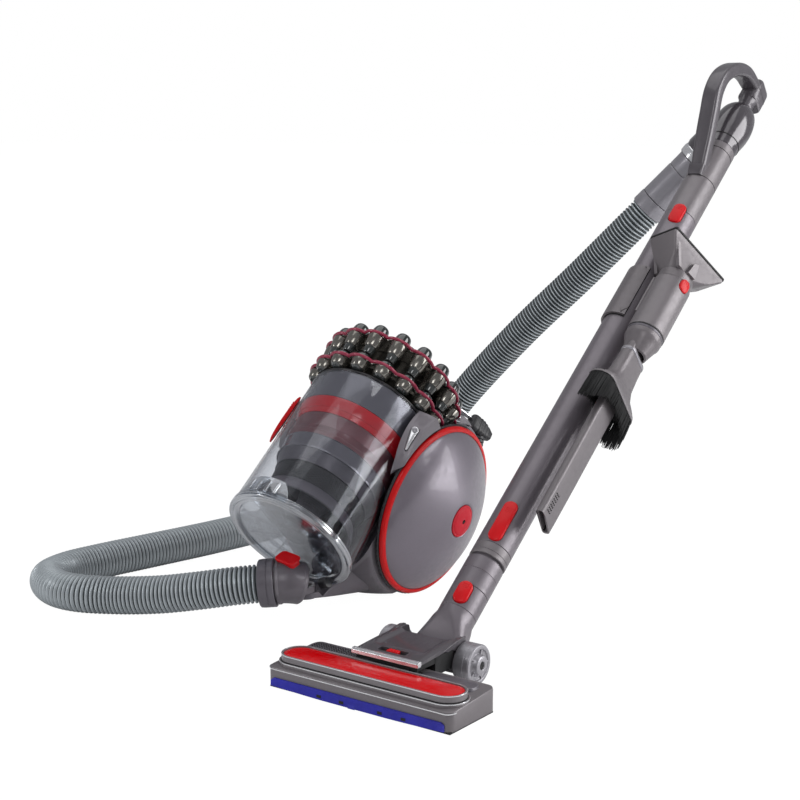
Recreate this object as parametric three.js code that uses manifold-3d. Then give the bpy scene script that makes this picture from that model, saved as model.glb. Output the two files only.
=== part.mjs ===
// Canister vacuum cleaner on a ball, with its hose, telescopic wand, clipped tools and floor head.
// Millimetres, +Z up. The machine faces -X, and its left side is -Y. The origin is on the floor,
// on the flat rear strip of the floor head's sole plate.
import * as THREE from 'three';
import { mergeVertices } from 'three/addons/utils/BufferGeometryUtils.js';
import Module from 'manifold-3d';

const wasm = await Module();
wasm.setup();

// ---- driving dimensions ----
const GAP = 0.3; // running clearance between neighbouring pieces
const RIGHT_ANGLE = Math.PI / 2;
const degrees = THREE.MathUtils.degToRad;

const WHEEL = {
  ringRadius: 112,
  tyreRadius: 113.8,
  centreHeight: 110.6,
  halfTrack: 85.1,
  cant: degrees(10.9),
  domeHeight: 46,
  fullness: 1.38,
  shell: 2.5,
  capRadius: 21,
  hubRadius: 16,
  stubRadius: 12,
};
const BIN = {
  base: [-184.6, 0, 101.1],
  tilt: degrees(51.8),
  radius: 83,
  topRadius: 86,
  wall: 2,
  top: 205,
};
const TIER = { lower: 218, upper: 260, radius: 86, cones: 17 };
const HOSE = { outer: 23.5, inner: 20.5, bends: 34, sides: 10 };
const WAND = { foot: [-266.3, -256, 0], elevation: degrees(38.74), radius: 22.7, wall: 2 };
const STATION = {
  neckSeam: 118,
  collarFoot: 162.5,
  collarTop: 178.5,
  tubeTop: 748,
  gripFoot: 834,
  elbowFoot: 891,
  elbow: 950,
  elbowTop: 984,
  gripTop: 1041,
};
const TOOLS = { offset: 50, angle: degrees(13), radius: 24.5, foot: 527 };
const HEAD = { front: -384, rear: -302, halfWidth: 120.5, height: 26, axleX: -246, axleZ: 22.6 };

// ---- materials ----
function material(colour, roughness, metalness) {
  return () => new THREE.MeshStandardMaterial({ color: colour, roughness, metalness });
}
const gunmetal = material(0x6d6a70, 0.35, 0.4);
const darkGrey = material(0x4b484d, 0.45, 0.1);
const midGrey = material(0x6a676b, 0.4, 0.1);
const red = material(0xd0101c, 0.3, 0.0);
const black = material(0x141416, 0.7, 0.0);
const clear = material(0xcdd3d8, 0.08, 0.0);
const hoseGrey = material(0x74787c, 0.45, 0.2);
const chrome = material(0xb9bcc0, 0.2, 0.9);
const blue = material(0x2b2aa8, 0.9, 0.0);
const white = material(0xe6e6e4, 0.8, 0.0);

// ---- solid helpers ----
// A closed geometry with shared vertices and its faces pointing out.
function closed(geometry) {
  const bare = geometry.clone();
  bare.deleteAttribute('normal');
  bare.deleteAttribute('uv');
  const merged = mergeVertices(bare, 1e-4);
  const spots = merged.attributes.position;
  const index = merged.index.array;
  const corner = [0, 1, 2].map(() => new THREE.Vector3());
  let volume = 0;
  const kept = [];
  for (let i = 0; i < index.length; i += 3) {
    const [a, b, c] = [index[i], index[i + 1], index[i + 2]];
    if (a === b || b === c || c === a) continue;
    corner.forEach((point, k) => point.fromBufferAttribute(spots, index[i + k]));
    volume += corner[0].dot(corner[1].clone().cross(corner[2])) / 6;
    kept.push(a, b, c);
  }
  if (volume < 0) {
    for (let i = 0; i < kept.length; i += 3) [kept[i], kept[i + 1]] = [kept[i + 1], kept[i]];
  }
  merged.setIndex(kept);
  return merged;
}

function solid(geometry) {
  const shape = closed(geometry);
  const vertProperties = new Float32Array(shape.attributes.position.array);
  const triVerts = new Uint32Array(shape.index.array);
  return new wasm.Manifold(new wasm.Mesh({ numProp: 3, vertProperties, triVerts }));
}

function geometryOf(manifold) {
  const mesh = manifold.getMesh();
  const geometry = new THREE.BufferGeometry();
  const points = new Float32Array(mesh.numVert * 3);
  for (let i = 0; i < mesh.numVert; i += 1) {
    for (let k = 0; k < 3; k += 1) points[3 * i + k] = mesh.vertProperties[mesh.numProp * i + k];
  }
  geometry.setAttribute('position', new THREE.BufferAttribute(points, 3));
  geometry.setIndex([...mesh.triVerts]);
  return geometry;
}

function join(first, ...others) {
  return geometryOf(others.reduce((sum, next) => sum.add(solid(next)), solid(first)));
}

function cut(first, ...others) {
  return geometryOf(others.reduce((left, next) => left.subtract(solid(next)), solid(first)));
}

// A turned shape about +Z from [radius, height] points. A ring's profile closes on itself.
function turned(profile, sides = 32, ring = false) {
  const points = profile.map(([r, z]) => new THREE.Vector2(r, z));
  if (ring) points.push(points[0].clone());
  return new THREE.LatheGeometry(points, sides).rotateX(RIGHT_ANGLE);
}

function rod(radius, from, to, sides = 32) {
  return turned([[0, from], [radius, from], [radius, to], [0, to]], sides);
}

function pipe(outer, inner, from, to, sides = 32) {
  return turned([[outer, from], [outer, to], [inner, to], [inner, from]], sides, true);
}

function block(x, y, z, at = [0, 0, 0]) {
  return new THREE.BoxGeometry(x, y, z).translate(...at);
}

// A flat outline of [x, y] points pulled up from one height to another.
function prism(outline, from, to) {
  const shape = new THREE.Shape(outline.map(([x, y]) => new THREE.Vector2(x, y)));
  const options = { depth: to - from, bevelEnabled: false, curveSegments: 6 };
  return new THREE.ExtrudeGeometry(shape, options).translate(0, 0, from);
}

// The side outline of [x, z] points pulled across the machine, from one y to another.
function sidePrism(outline, fromY, toY) {
  return prism(outline, -toY, -fromY).rotateX(RIGHT_ANGLE);
}

// A rounded bar's outline: length along x, breadth along y, corners of the given radius.
function rounded(length, breadth, radius, steps = 4) {
  const corners = [[1, 1, 0], [-1, 1, 1], [-1, -1, 2], [1, -1, 3]];
  return corners.flatMap(([sx, sy, turn]) => {
    const centre = [sx * (length / 2 - radius), sy * (breadth / 2 - radius)];
    return Array.from({ length: steps + 1 }, (_, i) => {
      const angle = (turn + i / steps) * RIGHT_ANGLE;
      return [centre[0] + radius * Math.cos(angle), centre[1] + radius * Math.sin(angle)];
    });
  });
}

// A section outline swept along a curve through the given points.
function swept(points, outline, holes, steps) {
  const curve = new THREE.CatmullRomCurve3(points.map((p) => new THREE.Vector3(...p)));
  const shape = new THREE.Shape(outline.map(([x, y]) => new THREE.Vector2(x, y)));
  holes.forEach((hole) => {
    shape.holes.push(new THREE.Path(hole.map(([x, y]) => new THREE.Vector2(x, y))));
  });
  return new THREE.ExtrudeGeometry(shape, { steps, bevelEnabled: false, extrudePath: curve });
}

function circle(radius, sides) {
  return Array.from({ length: sides }, (_, i) => {
    const angle = (2 * Math.PI * i) / sides;
    return [radius * Math.cos(angle), radius * Math.sin(angle)];
  });
}

function add(parent, name, geometry, make) {
  const mesh = new THREE.Mesh(closed(geometry), make());
  mesh.name = name;
  parent.add(mesh);
  return mesh;
}

function frameAt(parent, position, rotation = [0, 0, 0]) {
  const frame = new THREE.Group();
  frame.position.set(...position);
  frame.rotation.set(...rotation);
  parent.add(frame);
  return frame;
}

// A geometry given in a frame, moved into the machine's own frame, and the reverse.
function placed(geometry, position, rotation = [0, 0, 0]) {
  const frame = new THREE.Object3D();
  frame.position.set(...position);
  frame.rotation.set(...rotation);
  frame.updateMatrix();
  return geometry.applyMatrix4(frame.matrix);
}

// Every place below is measured from the floor under the middle of the ball.
const BALL_PLACE = [323, 180, 0];
const assembly = new THREE.Group();
const machine = frameAt(assembly, BALL_PLACE);

// ---- wheels: two domed shells on canted stubs ----
const WHEEL_CENTRE = (side) => [0, side * WHEEL.halfTrack, WHEEL.centreHeight];
const WHEEL_TURN = (side) => [-side * (RIGHT_ANGLE + WHEEL.cant), 0, 0];

function domeHeightAt(radius, height, rim) {
  return height * Math.max(0, 1 - (radius / rim) ** WHEEL.fullness) ** (1 / WHEEL.fullness);
}

function domeProfile() {
  const rim = WHEEL.ringRadius - 5.4;
  const inner = rim - WHEEL.shell;
  const outside = [];
  const inside = [];
  for (const share of [1, 0.97, 0.86, 0.66, 0.42]) {
    outside.push([rim * share, domeHeightAt(rim * share, WHEEL.domeHeight, rim)]);
    const depth = WHEEL.domeHeight - WHEEL.shell;
    inside.unshift([inner * share, domeHeightAt(inner * share, depth, inner)]);
  }
  const lip = WHEEL.capRadius + GAP;
  const seat = 40;
  const hub = [
    [lip, domeHeightAt(lip, WHEEL.domeHeight, rim)],
    [lip, seat],
    [WHEEL.stubRadius + GAP, seat],
    [WHEEL.stubRadius + GAP, 27],
    [WHEEL.hubRadius, 27],
    [WHEEL.hubRadius, seat - WHEEL.shell],
    [lip + WHEEL.shell, seat - WHEEL.shell],
  ];
  return [[rim, -3], ...outside, ...hub, ...inside, [inner, -3]];
}

function wheel(side, name) {
  const frame = frameAt(machine, WHEEL_CENTRE(side), WHEEL_TURN(side));
  const rim = WHEEL.ringRadius - 5;
  add(frame, `wheel_shell_${name}`, turned(domeProfile(), 26, true), gunmetal);
  const outer = WHEEL.ringRadius;
  const ring = [[rim, -3], [outer, -3], [outer, -0.5], [rim + 1.5, 1.6], [rim, 1]];
  add(frame, `wheel_ring_${name}`, turned(ring, 26, true), red);
  add(frame, `wheel_tyre_${name}`, pipe(WHEEL.tyreRadius, 99, -7, -3.3, 26), black);
  const capEdge = domeHeightAt(WHEEL.capRadius, WHEEL.domeHeight, rim);
  const cap = [[0, 40.3], [WHEEL.capRadius, 40.3], [WHEEL.capRadius, capEdge], [0, WHEEL.domeHeight - 1]];
  add(frame, `wheel_cap_${name}`, turned(cap, 18), red);
}
wheel(-1, 'left');
wheel(1, 'right');

// ---- chassis: the middle of the ball, the cradle for the bin and the tongue under it ----
const MOTOR = { at: [54, 0, 70], radius: 37, bay: 38 };
const PIVOT = { x: -158, boss: 15, pin: 7, foot: 20, top: 28.5 };
const BALL = { radius: 141, height: 127 };
const SIDE_PLANE = 10; // the chassis sides stop this far inside the wheel rings
const CRADLE = 1.6;
const BOTH = [-1, 1];

function binShape(radius, from, to, sides = 24) {
  return placed(rod(radius, from, to, sides), BIN.base, [0, BIN.tilt, 0]);
}

// A shape about its own +Z, turned to look along a direction.
function aimed(geometry, at, direction) {
  const up = new THREE.Vector3(0, 0, 1);
  const ahead = new THREE.Vector3(...direction).normalize();
  const turn = new THREE.Quaternion().setFromUnitVectors(up, ahead);
  return geometry.applyQuaternion(turn).translate(...at);
}

// The power button is on the left shoulder and the cord rewind button on the right.
const BUTTON = { length: 34, breadth: 10, corner: 4.9, pocket: 1, spin: 0.2 };
const BUTTON_AT = (side) => [-72.3, side * 99.3, 217.7];
const BUTTON_OUT = (side) => [-0.688, side * 0.434, 0.582];
function buttonBar(side, grow, from, to) {
  const outline = rounded(BUTTON.length + grow, BUTTON.breadth + grow, BUTTON.corner, 3);
  const bar = prism(outline, from, to).rotateZ(-side * BUTTON.spin);
  return aimed(bar, BUTTON_AT(side), BUTTON_OUT(side));
}

// A shoulder stands proud of the ball over each wheel, clear of the tyre.
const SHOULDER = { radius: 90.6, at: (side) => [-10, side * 60, 165], tyreRoom: 117, reach: 6 };
function shoulder(side) {
  const dome = new THREE.SphereGeometry(SHOULDER.radius, 24, 16).translate(...SHOULDER.at(side));
  const inner = block(400, 400, 400, [0, -side * 148, 165]);
  const tyreRoom = rod(SHOULDER.tyreRoom, 0.5 - SIDE_PLANE, 120, 40);
  const outside = block(400, 400, 100, [0, 0, 50 + SHOULDER.reach]);
  const wheelSide = [tyreRoom, outside].map((shape) => {
    return placed(shape, WHEEL_CENTRE(side), WHEEL_TURN(side));
  });
  return cut(dome, inner, ...wheelSide);
}

// The plug is parked behind the left shoulder, on the end of its cord.
const PLUG = { at: [150, -50, 189], along: [-0.6, 0.5, 0.62], length: 34 };
const CORD = { mouth: [134, -57, 152], out: [0.92, -0.38, 0.1], radius: 3.6, boot: 30 };
function cordRod(radius) {
  return aimed(rod(radius, -70, 3, 12), CORD.mouth, CORD.out);
}

function chassis() {
  const ball = new THREE.SphereGeometry(BALL.radius, 24, 14).translate(0, 0, BALL.height);
  const floorCut = block(400, 400, 100, [0, 0, -42]);
  const underside = [[-158, 20], [-110, 16], [-60, 10], [-20, 8]];
  const side = [...underside, [-20, 95], [-90, 78], [-138, 28.5], [-158, 28.5]];
  const plan = [[-158, 15], [-60, 44], [-20, 55], [-20, -55], [-60, -44], [-158, -15]];
  const tongue = solid(sidePrism(side, -60, 60)).intersect(solid(prism(plan, 0, 120)));
  const boss = rod(PIVOT.boss, PIVOT.foot, PIVOT.top, 18).translate(PIVOT.x, 0, 0);
  const stubs = BOTH.map((hand) => {
    return placed(rod(WHEEL.stubRadius, -45, 39.7, 20), WHEEL_CENTRE(hand), WHEEL_TURN(hand));
  });
  const outside = BOTH.map((hand) => {
    const slab = block(400, 400, 200, [0, 0, 100 - SIDE_PLANE]);
    return placed(slab, WHEEL_CENTRE(hand), WHEEL_TURN(hand));
  });
  const middle = cut(join(cut(ball, floorCut), geometryOf(tongue), boss), ...outside);
  const body = cut(
    join(middle, ...BOTH.map(shoulder)),
    binShape(BIN.topRadius + CRADLE, -20, 212, 28),
    placed(block(80, 177, 224, [-40, 0, 92]), BIN.base, [0, BIN.tilt, 0]),
    binShape(112, 204, 340, 18),
    rod(MOTOR.bay, -150, 150, 20).rotateX(RIGHT_ANGLE).translate(...MOTOR.at),
    rod(PIVOT.pin + GAP, 0, 60, 14).translate(PIVOT.x, 0, 0),
    ...BOTH.map((hand) => buttonBar(hand, BUTTON.pocket, -6, 30)),
    cordRod(CORD.radius + 0.8),
  );
  return join(body, ...stubs);
}
add(machine, 'chassis', chassis(), darkGrey);

add(machine, 'power_button', buttonBar(-1, 0, -3.5, 1.5), chrome);
add(machine, 'rewind_button', buttonBar(1, 0, -3.5, 1.5), chrome);

// ---- inside the ball: motor, fan, filter and cord reel ----
const motorFrame = frameAt(machine, MOTOR.at, [RIGHT_ANGLE, 0, 0]);
add(motorFrame, 'motor', join(rod(MOTOR.radius, -30, 26, 18), rod(5, 20, 48, 10)), black);

function fan() {
  const vanes = Array.from({ length: 6 }, (_, i) => {
    return block(24, 2, 9, [21, 0, 35]).rotateZ((i * Math.PI) / 3);
  });
  return cut(join(rod(11, 29, 41, 12), rod(34, 29, 31, 18), ...vanes), rod(5.4, 20, 48, 10));
}
add(motorFrame, 'fan', fan(), midGrey);

const leftInside = frameAt(machine, WHEEL_CENTRE(-1), WHEEL_TURN(-1));
add(leftInside, 'exhaust_filter', pipe(66, 18, -6, 17, 20), white);
const rightInside = frameAt(machine, WHEEL_CENTRE(1), WHEEL_TURN(1));
const reelProfile = [
  [66, -6], [66, -3.5], [32, -3.5], [32, 14.5], [66, 14.5], [66, 17], [WHEEL.stubRadius + GAP, 17],
  [WHEEL.stubRadius + GAP, -6],
];
add(rightInside, 'cord_reel', turned(reelProfile, 20, true), midGrey);

// ---- mains plug and its cord ----
function plug() {
  const { at, along, length } = PLUG;
  const body = prism(rounded(27, 21, 6, 3), -length / 2, length / 2);
  const blades = BOTH.map((side) => block(1.8, 6.5, 24, [side * 6.4, 0, length / 2 + 9]));
  const toBody = at.map((value, i) => value - CORD.mouth[i]);
  const bootProfile = [[0, -3], [5, -3], [9.5, CORD.boot], [0, CORD.boot + 6]];
  const boot = aimed(turned(bootProfile, 14), CORD.mouth, toBody);
  return join(aimed(join(body, ...blades), at, along), boot, cordRod(CORD.radius));
}
add(machine, 'mains_plug', plug(), black);

// ---- bin: clear cylinder, shroud, two tiers of cyclones, hinged base ----
const bin = frameAt(machine, BIN.base, [0, BIN.tilt, 0]);
const binWall = [
  [BIN.radius - 1, 3.2], [BIN.topRadius, 200], [BIN.topRadius, 203],
  [BIN.topRadius - BIN.wall, 203], [BIN.topRadius - BIN.wall, 200], [BIN.radius - 1 - BIN.wall, 3.2],
];
add(bin, 'bin_cylinder', turned(binWall, 24, true), clear);
const collar = [
  [83, 162.3], [83.4, 203.3], [86, 203.4], [86, 206], [62.6, 206], [62.6, 203], [80, 203], [80, 162.3],
];
add(bin, 'bin_collar', turned(collar, 24, true), darkGrey);
add(bin, 'separator_band', turned([[82, 162], [75.5, 141], [72, 141], [78.5, 162]], 24, true), red);
const shroud = [
  [75, 140.7], [73.7, 108], [70, 90], [63, 72], [60, 46], [67, 30], [64, 30], [56, 47], [56, 72], [70, 140.7],
];
add(bin, 'shroud', turned(shroud, 18, true), black);
const core = [
  [0, 286], [18, 286], [18, 4], [22, 4], [24, 110], [61.6, 150],
  [61.6, 206.4], [63.2, 208], [63.2, 284], [46, 292], [0, 294],
];
add(bin, 'cyclone_core', turned(core, 18), gunmetal);

function tier(height, drop, tipRadius, dome) {
  const cones = Array.from({ length: TIER.cones }, (_, i) => {
    const cone = turned([[0, -drop], [tipRadius, -drop], [11.8, 3], [10, dome - 3], [0, dome]], 8);
    return cone.translate(TIER.radius, 0, height).rotateZ((2 * Math.PI * i) / TIER.cones);
  });
  return join(pipe(TIER.radius, 64.3, height - 3, height - 0.5, 17), ...cones);
}
add(bin, 'cyclone_tier_lower', tier(TIER.lower, 11.4, 9, 13), gunmetal);
add(bin, 'cyclone_tier_upper', tier(TIER.upper, 26, 7, 21), gunmetal);

const arch = [
  [-34, 0, 287], [-28, 0, 302], [-8, 0, 314], [12, 0, 316], [34, 0, 308], [46, 0, 296], [50, 0, 284],
];
const lid = turned([[0, 270], [64.5, 270], [64.5, 284.2], [46, 292.4], [0, 294.4]], 18);
const archBar = cut(swept(arch, rounded(9, 22, 4, 2), [], 14), lid);
add(bin, 'carry_handle', archBar, clear);

const FLAP = { hinge: 84, rim: 84.5 };
const flap = [
  [0, -1.5], [70, -1.5], [75, -6], [FLAP.rim, -5], [FLAP.rim, 2.8], [76, 2.8], [72, 1.5], [0, 1.5],
];
add(bin, 'base_flap', turned(flap, 24), clear);

function curvedPlate(radius, thickness, halfAngle, from, to, steps = 6) {
  const arc = (r, direction) => Array.from({ length: steps + 1 }, (_, i) => {
    const angle = Math.PI + direction * halfAngle * (1 - (2 * i) / steps);
    return [r * Math.cos(angle), r * Math.sin(angle)];
  });
  return prism([...arc(radius, 1), ...arc(radius + thickness, -1)], from, to);
}
add(bin, 'base_latch', curvedPlate(FLAP.rim + 0.6, 4, 0.3, -3, 21), clear);

const SLIDER = { angle: degrees(-50), from: 98, to: 172 };
const sliderBar = curvedPlate(BIN.topRadius + 0.6, 5, 0.09, SLIDER.from, SLIDER.to, 3).rotateZ(SLIDER.angle);
add(bin, 'release_slider', sliderBar, red);

// ---- nose, hose and elbow ----
const NOSE = { mouth: [-214, 2, 51], out: [-0.55, 0.83, -0.09], radius: 26 };
const alongNose = (distance) => NOSE.mouth.map((value, i) => value + distance * NOSE.out[i]);

const CATCH = { at: [-206, -14, 78.5], up: [-0.3, -0.15, 0.94] };
const catchBlock = (grow, from, to) => {
  return aimed(prism(rounded(16 + grow, 26 + grow, 3, 2), from, to), CATCH.at, CATCH.up);
};

function nose() {
  const path = [[-186, -22, 47], [-192, -17, 49], alongNose(-14), alongNose(-4.2)];
  const duct = swept(path, circle(NOSE.radius, 18), [], 5);
  const arm = block(36, 16, 8, [-176, -8, PIVOT.top + 4.6]);
  const eye = rod(12, PIVOT.top + 0.6, PIVOT.top + 8.6, 16).translate(PIVOT.x, 0, 0);
  const bored = cut(
    join(duct, arm, eye),
    rod(PIVOT.boss + 1.2, 0, PIVOT.top + 0.6, 20).translate(PIVOT.x, 0, 0),
    aimed(rod(21, -30, 20, 18), NOSE.mouth, NOSE.out),
    aimed(rod(60, -3.2, 40, 18), NOSE.mouth, NOSE.out),
    binShape(87, -8, 30, 18),
    catchBlock(1, -6, 20),
  );
  return join(bored, rod(PIVOT.pin, PIVOT.foot - 1, PIVOT.top + 4, 14).translate(PIVOT.x, 0, 0));
}
add(machine, 'nose_duct', nose(), darkGrey);
add(machine, 'hose_catch', catchBlock(0, -3.5, 6), red);
add(machine, 'hose_cuff_lower', aimed(pipe(29.5, 24.4, -2.7, 17, 20), NOSE.mouth, NOSE.out), midGrey);

const wandTurn = RIGHT_ANGLE - WAND.elevation;
const wandAt = (station) => [
  WAND.foot[0] + station * Math.cos(WAND.elevation),
  WAND.foot[1],
  WAND.foot[2] + station * Math.sin(WAND.elevation),
];
const ELBOW = { at: wandAt(STATION.elbow), down: [-0.226, 0.66, -0.716] };
const alongCuff = (distance) => ELBOW.at.map((value, i) => value + distance * ELBOW.down[i]);

const hosePath = [
  alongNose(-2), alongNose(14), [-240, 41, 46], [-262, 82, 38], [-282, 127, 30], [-303, 177, 25],
  [-324, 226, 24], [-325, 266, 24], [-303, 305, 24], [-262, 318, 24], [-208, 313, 24],
  [-131, 298, 24], [-33, 279, 24],
  [70, 265, 24], [170, 257, 24], [262, 250, 28], [330, 232, 54], [372, 193, 108], [394, 138, 186],
  [407, 42, 289], [420, -48, 376], alongCuff(196), alongCuff(168), alongCuff(141.5),
];
const hose = swept(hosePath, circle(HOSE.outer, HOSE.sides), [circle(HOSE.inner, HOSE.sides)], HOSE.bends);
add(machine, 'hose', hose, hoseGrey);
const upperCuff = [
  [25, 98.2], [25, 150], [25.6, 152], [25.6, 170], [24.2, 170], [24.2, 140.6], [20.5, 140.6], [20.5, 98.2],
];
add(machine, 'hose_cuff_upper', aimed(turned(upperCuff, 18, true), ELBOW.at, ELBOW.down), midGrey);

const wand = frameAt(machine, WAND.foot, [0, wandTurn, 0]);
const inWand = (geometry) => placed(geometry, WAND.foot, [0, wandTurn, 0]);

function elbow() {
  const bulb = [[0, 891.3], [22.4, 891.3], [24, 908], [27, 930], [27, 950], [24, 968], [16, 980], [0, 984]];
  const port = aimed(rod(24.6, 0, 97.8, 18), ELBOW.at, ELBOW.down);
  const handleBore = inWand(rod(17, 880, 950, 20));
  const hoseBore = aimed(rod(19, 6, 120, 20), ELBOW.at, ELBOW.down);
  const belowSeam = inWand(pipe(40, 1, 860, 891.2, 18));
  return cut(join(inWand(turned(bulb, 20)), port), handleBore, hoseBore, belowSeam);
}
add(machine, 'elbow', elbow(), darkGrey);

// ---- handle ----
// An oval catch on the top side of the wand: length along the wand, breadth across it.
const CATCH_TURN = degrees(17.5);
function oval(length, breadth, station, from, to, turn = CATCH_TURN) {
  const outline = rounded(length, breadth, breadth / 2 - 0.1, 3);
  return prism(outline, from, to).rotateY(-RIGHT_ANGLE).rotateZ(turn).translate(0, 0, station);
}
const CATCH_WIDTH = 17;
const upperCatch = { length: 34, station: 740 };
const handleNotch = oval(upperCatch.length + 1, CATCH_WIDTH + 1, upperCatch.station, 17, 30);
const handleTube = cut(
  pipe(WAND.radius, 20.4, STATION.tubeTop + GAP, 891, 20),
  handleNotch,
);
add(wand, 'handle_tube', handleTube, darkGrey);
const gripPath = [
  [-17, 0, 830], [-38, 0, 862], [-61, 0, 898], [-77, 0, 925],
  [-80, 0, 953], [-66, 0, 987], [-40, 0, 1014], [-8, 0, 1026],
];
const grip = cut(
  swept(gripPath, rounded(19, 26, 7, 2), [], 16),
  rod(WAND.radius + GAP, 780, 900, 20),
  block(60, 60, 80, [18.6, 0, 1030]),
  rod(11.4, 980, 1014.4, 16),
);
add(wand, 'grip', grip, darkGrey);
const handleEnd = cut(
  join(
    prism(rounded(36, 28, 8, 3), 1005, STATION.gripTop).translate(7, 0, 0),
    rod(11, 984.6, 1014, 18),
  ),
  prism(rounded(17, 13, 4, 2), 1036, 1060).translate(9, 0, 0),
);
add(wand, 'handle_end', handleEnd, darkGrey);
add(wand, 'suction_button', prism(rounded(16, 12, 3.6, 2), 1038.5, 1044).translate(9, 0, 0), midGrey);

// ---- telescopic wand ----
const pill = { length: 57, station: 209, breadth: 17 };
const spigot = 19.9;
const outerTube = [
  [WAND.radius, STATION.collarTop + GAP], [WAND.radius, STATION.tubeTop], [spigot, STATION.tubeTop],
  [spigot, 776], [18, 776], [18, 744], [20.7, 740], [20.7, STATION.collarTop + GAP],
];
const wandTube = cut(
  turned(outerTube, 20, true),
  oval(pill.length + 1, pill.breadth + 1, pill.station, 20, 30),
  oval(upperCatch.length + 1, CATCH_WIDTH + 1, upperCatch.station, 17, 30),
);
add(wand, 'wand_tube', wandTube, midGrey);
add(wand, 'wand_collar', pipe(WAND.radius, 19.6, STATION.collarFoot, STATION.collarTop, 18), midGrey);
add(wand, 'telescope_catch', oval(pill.length, pill.breadth, pill.station, 21.2, 25), red);
add(wand, 'wand_catch', oval(upperCatch.length, CATCH_WIDTH, upperCatch.station, 19.3, 25), red);

const lowerCatch = { length: 29, station: 105.5 };
const innerTube = [
  [22.4, STATION.neckSeam + GAP], [22.4, 158.5], [19.2, 158.5], [19.2, 520], [17.4, 520], [17.4, 130],
  [16.6, 122], [16.6, 92], [18.6, 92], [18.6, STATION.neckSeam + GAP],
];
const lowerNotch = oval(lowerCatch.length + 1, CATCH_WIDTH + 1, lowerCatch.station, 16.8, 30);
add(wand, 'wand_inner_tube', cut(turned(innerTube, 20, true), lowerNotch), midGrey);
add(wand, 'head_catch', oval(lowerCatch.length, CATCH_WIDTH, lowerCatch.station, 18.4, 25), red);

// ---- tool clip and the tools it holds ----
const toolAxis = [-TOOLS.offset * Math.sin(TOOLS.angle), -TOOLS.offset * Math.cos(TOOLS.angle)];
function clip() {
  const arc = (radius, from, to) => Array.from({ length: 15 }, (_, i) => {
    const angle = degrees(from + ((to - from) * i) / 14);
    return [radius * Math.cos(angle), radius * Math.sin(angle)];
  });
  const saddle = prism([...arc(23, -70, 210), ...arc(26.5, 210, -70)], 548, 636);
  const cradleArc = (radius) => arc(radius, 10, 110).map(([x, y]) => [x + toolAxis[0], y + toolAxis[1]]);
  const cradle = prism([...cradleArc(24.8), ...cradleArc(27.5).reverse()], 560, 620);
  const bridge = prism([[5, -22.5], [13, -20], [16.5, -38], [12.5, -40]], 560, 620);
  const wandHole = rod(23, 500, 700, 20);
  const toolHole = rod(24.8, 500, 700, 20).translate(...toolAxis, 0);
  return cut(join(saddle, bridge, cradle), wandHole, toolHole);
}
add(wand, 'tool_clip', clip(), midGrey);

const tools = frameAt(wand, [...toolAxis, TOOLS.foot]);
const adapterProfile = [[TOOLS.radius, 0], [TOOLS.radius, 86], [23, 87.5], [23, 100], [20, 100], [20, 0]];
const ADAPTER_CATCH = { length: 19, breadth: 15, height: 80.5, turn: degrees(69) };
function adapterOval(grow, from, to) {
  const { length, breadth, height, turn } = ADAPTER_CATCH;
  return oval(length + grow, breadth + grow, height, from, to, turn);
}
const adapter = cut(turned(adapterProfile, 18, true), adapterOval(1, 15, 40));
add(tools, 'tool_adapter', adapter, midGrey);
add(tools, 'adapter_catch', adapterOval(0, 21.4, 26), red);

// The stair tool is a funnel with a rectangular mouth, turned about its own axis.
const STAIR = { halfWidth: 48.5, halfDepth: 23.5, neck: 19, foot: 98, top: 140, turn: degrees(-24.6) };
function funnel(shrink) {
  const { halfWidth, halfDepth, neck, foot, top } = STAIR;
  const outline = (half) => [
    [-neck + shrink, foot], [-half + shrink, top - 6], [-half + shrink, top + shrink],
    [half - shrink, top + shrink], [half - shrink, top - 6], [neck - shrink, foot],
  ];
  const broad = sidePrism(outline(halfWidth), -60, 60);
  const deep = sidePrism(outline(halfDepth), -60, 60).rotateZ(RIGHT_ANGLE);
  return geometryOf(solid(broad).intersect(solid(deep)));
}
function stairTool() {
  const spout = rod(19.6, 84, 101, 20);
  const hollow = join(funnel(2.6), rod(15, 80, 112, 16));
  const shape = cut(join(funnel(0), spout), hollow, pipe(60, 19.7, 80, 100.3, 20));
  return shape.rotateZ(STAIR.turn);
}
add(tools, 'stair_tool', stairTool(), midGrey);

// The crevice tool is a long flat blade under a round socket; the brush slides along the blade.
const BLADE = { x: 0, breadth: 36, depth: 11, foot: -297, top: -20 };
function bladeSlot(grow, from, to) {
  const depth = BLADE.depth + grow;
  return prism(rounded(BLADE.breadth + grow, depth, 0.36 * depth, 2), from, to).translate(BLADE.x, 0, 0);
}
function creviceTool() {
  const profile = [
    [0, -36], [13, -36], [22, -14], [23.5, -10], [23.5, -0.4], [19.6, -0.4], [19.6, 44], [0, 44],
  ];
  return cut(
    join(turned(profile, 16), bladeSlot(0, BLADE.foot, BLADE.top)),
    bladeSlot(-5, BLADE.foot - 4, -16),
    rod(12, -24, 60, 14),
  );
}
add(tools, 'crevice_tool', creviceTool(), midGrey);

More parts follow.
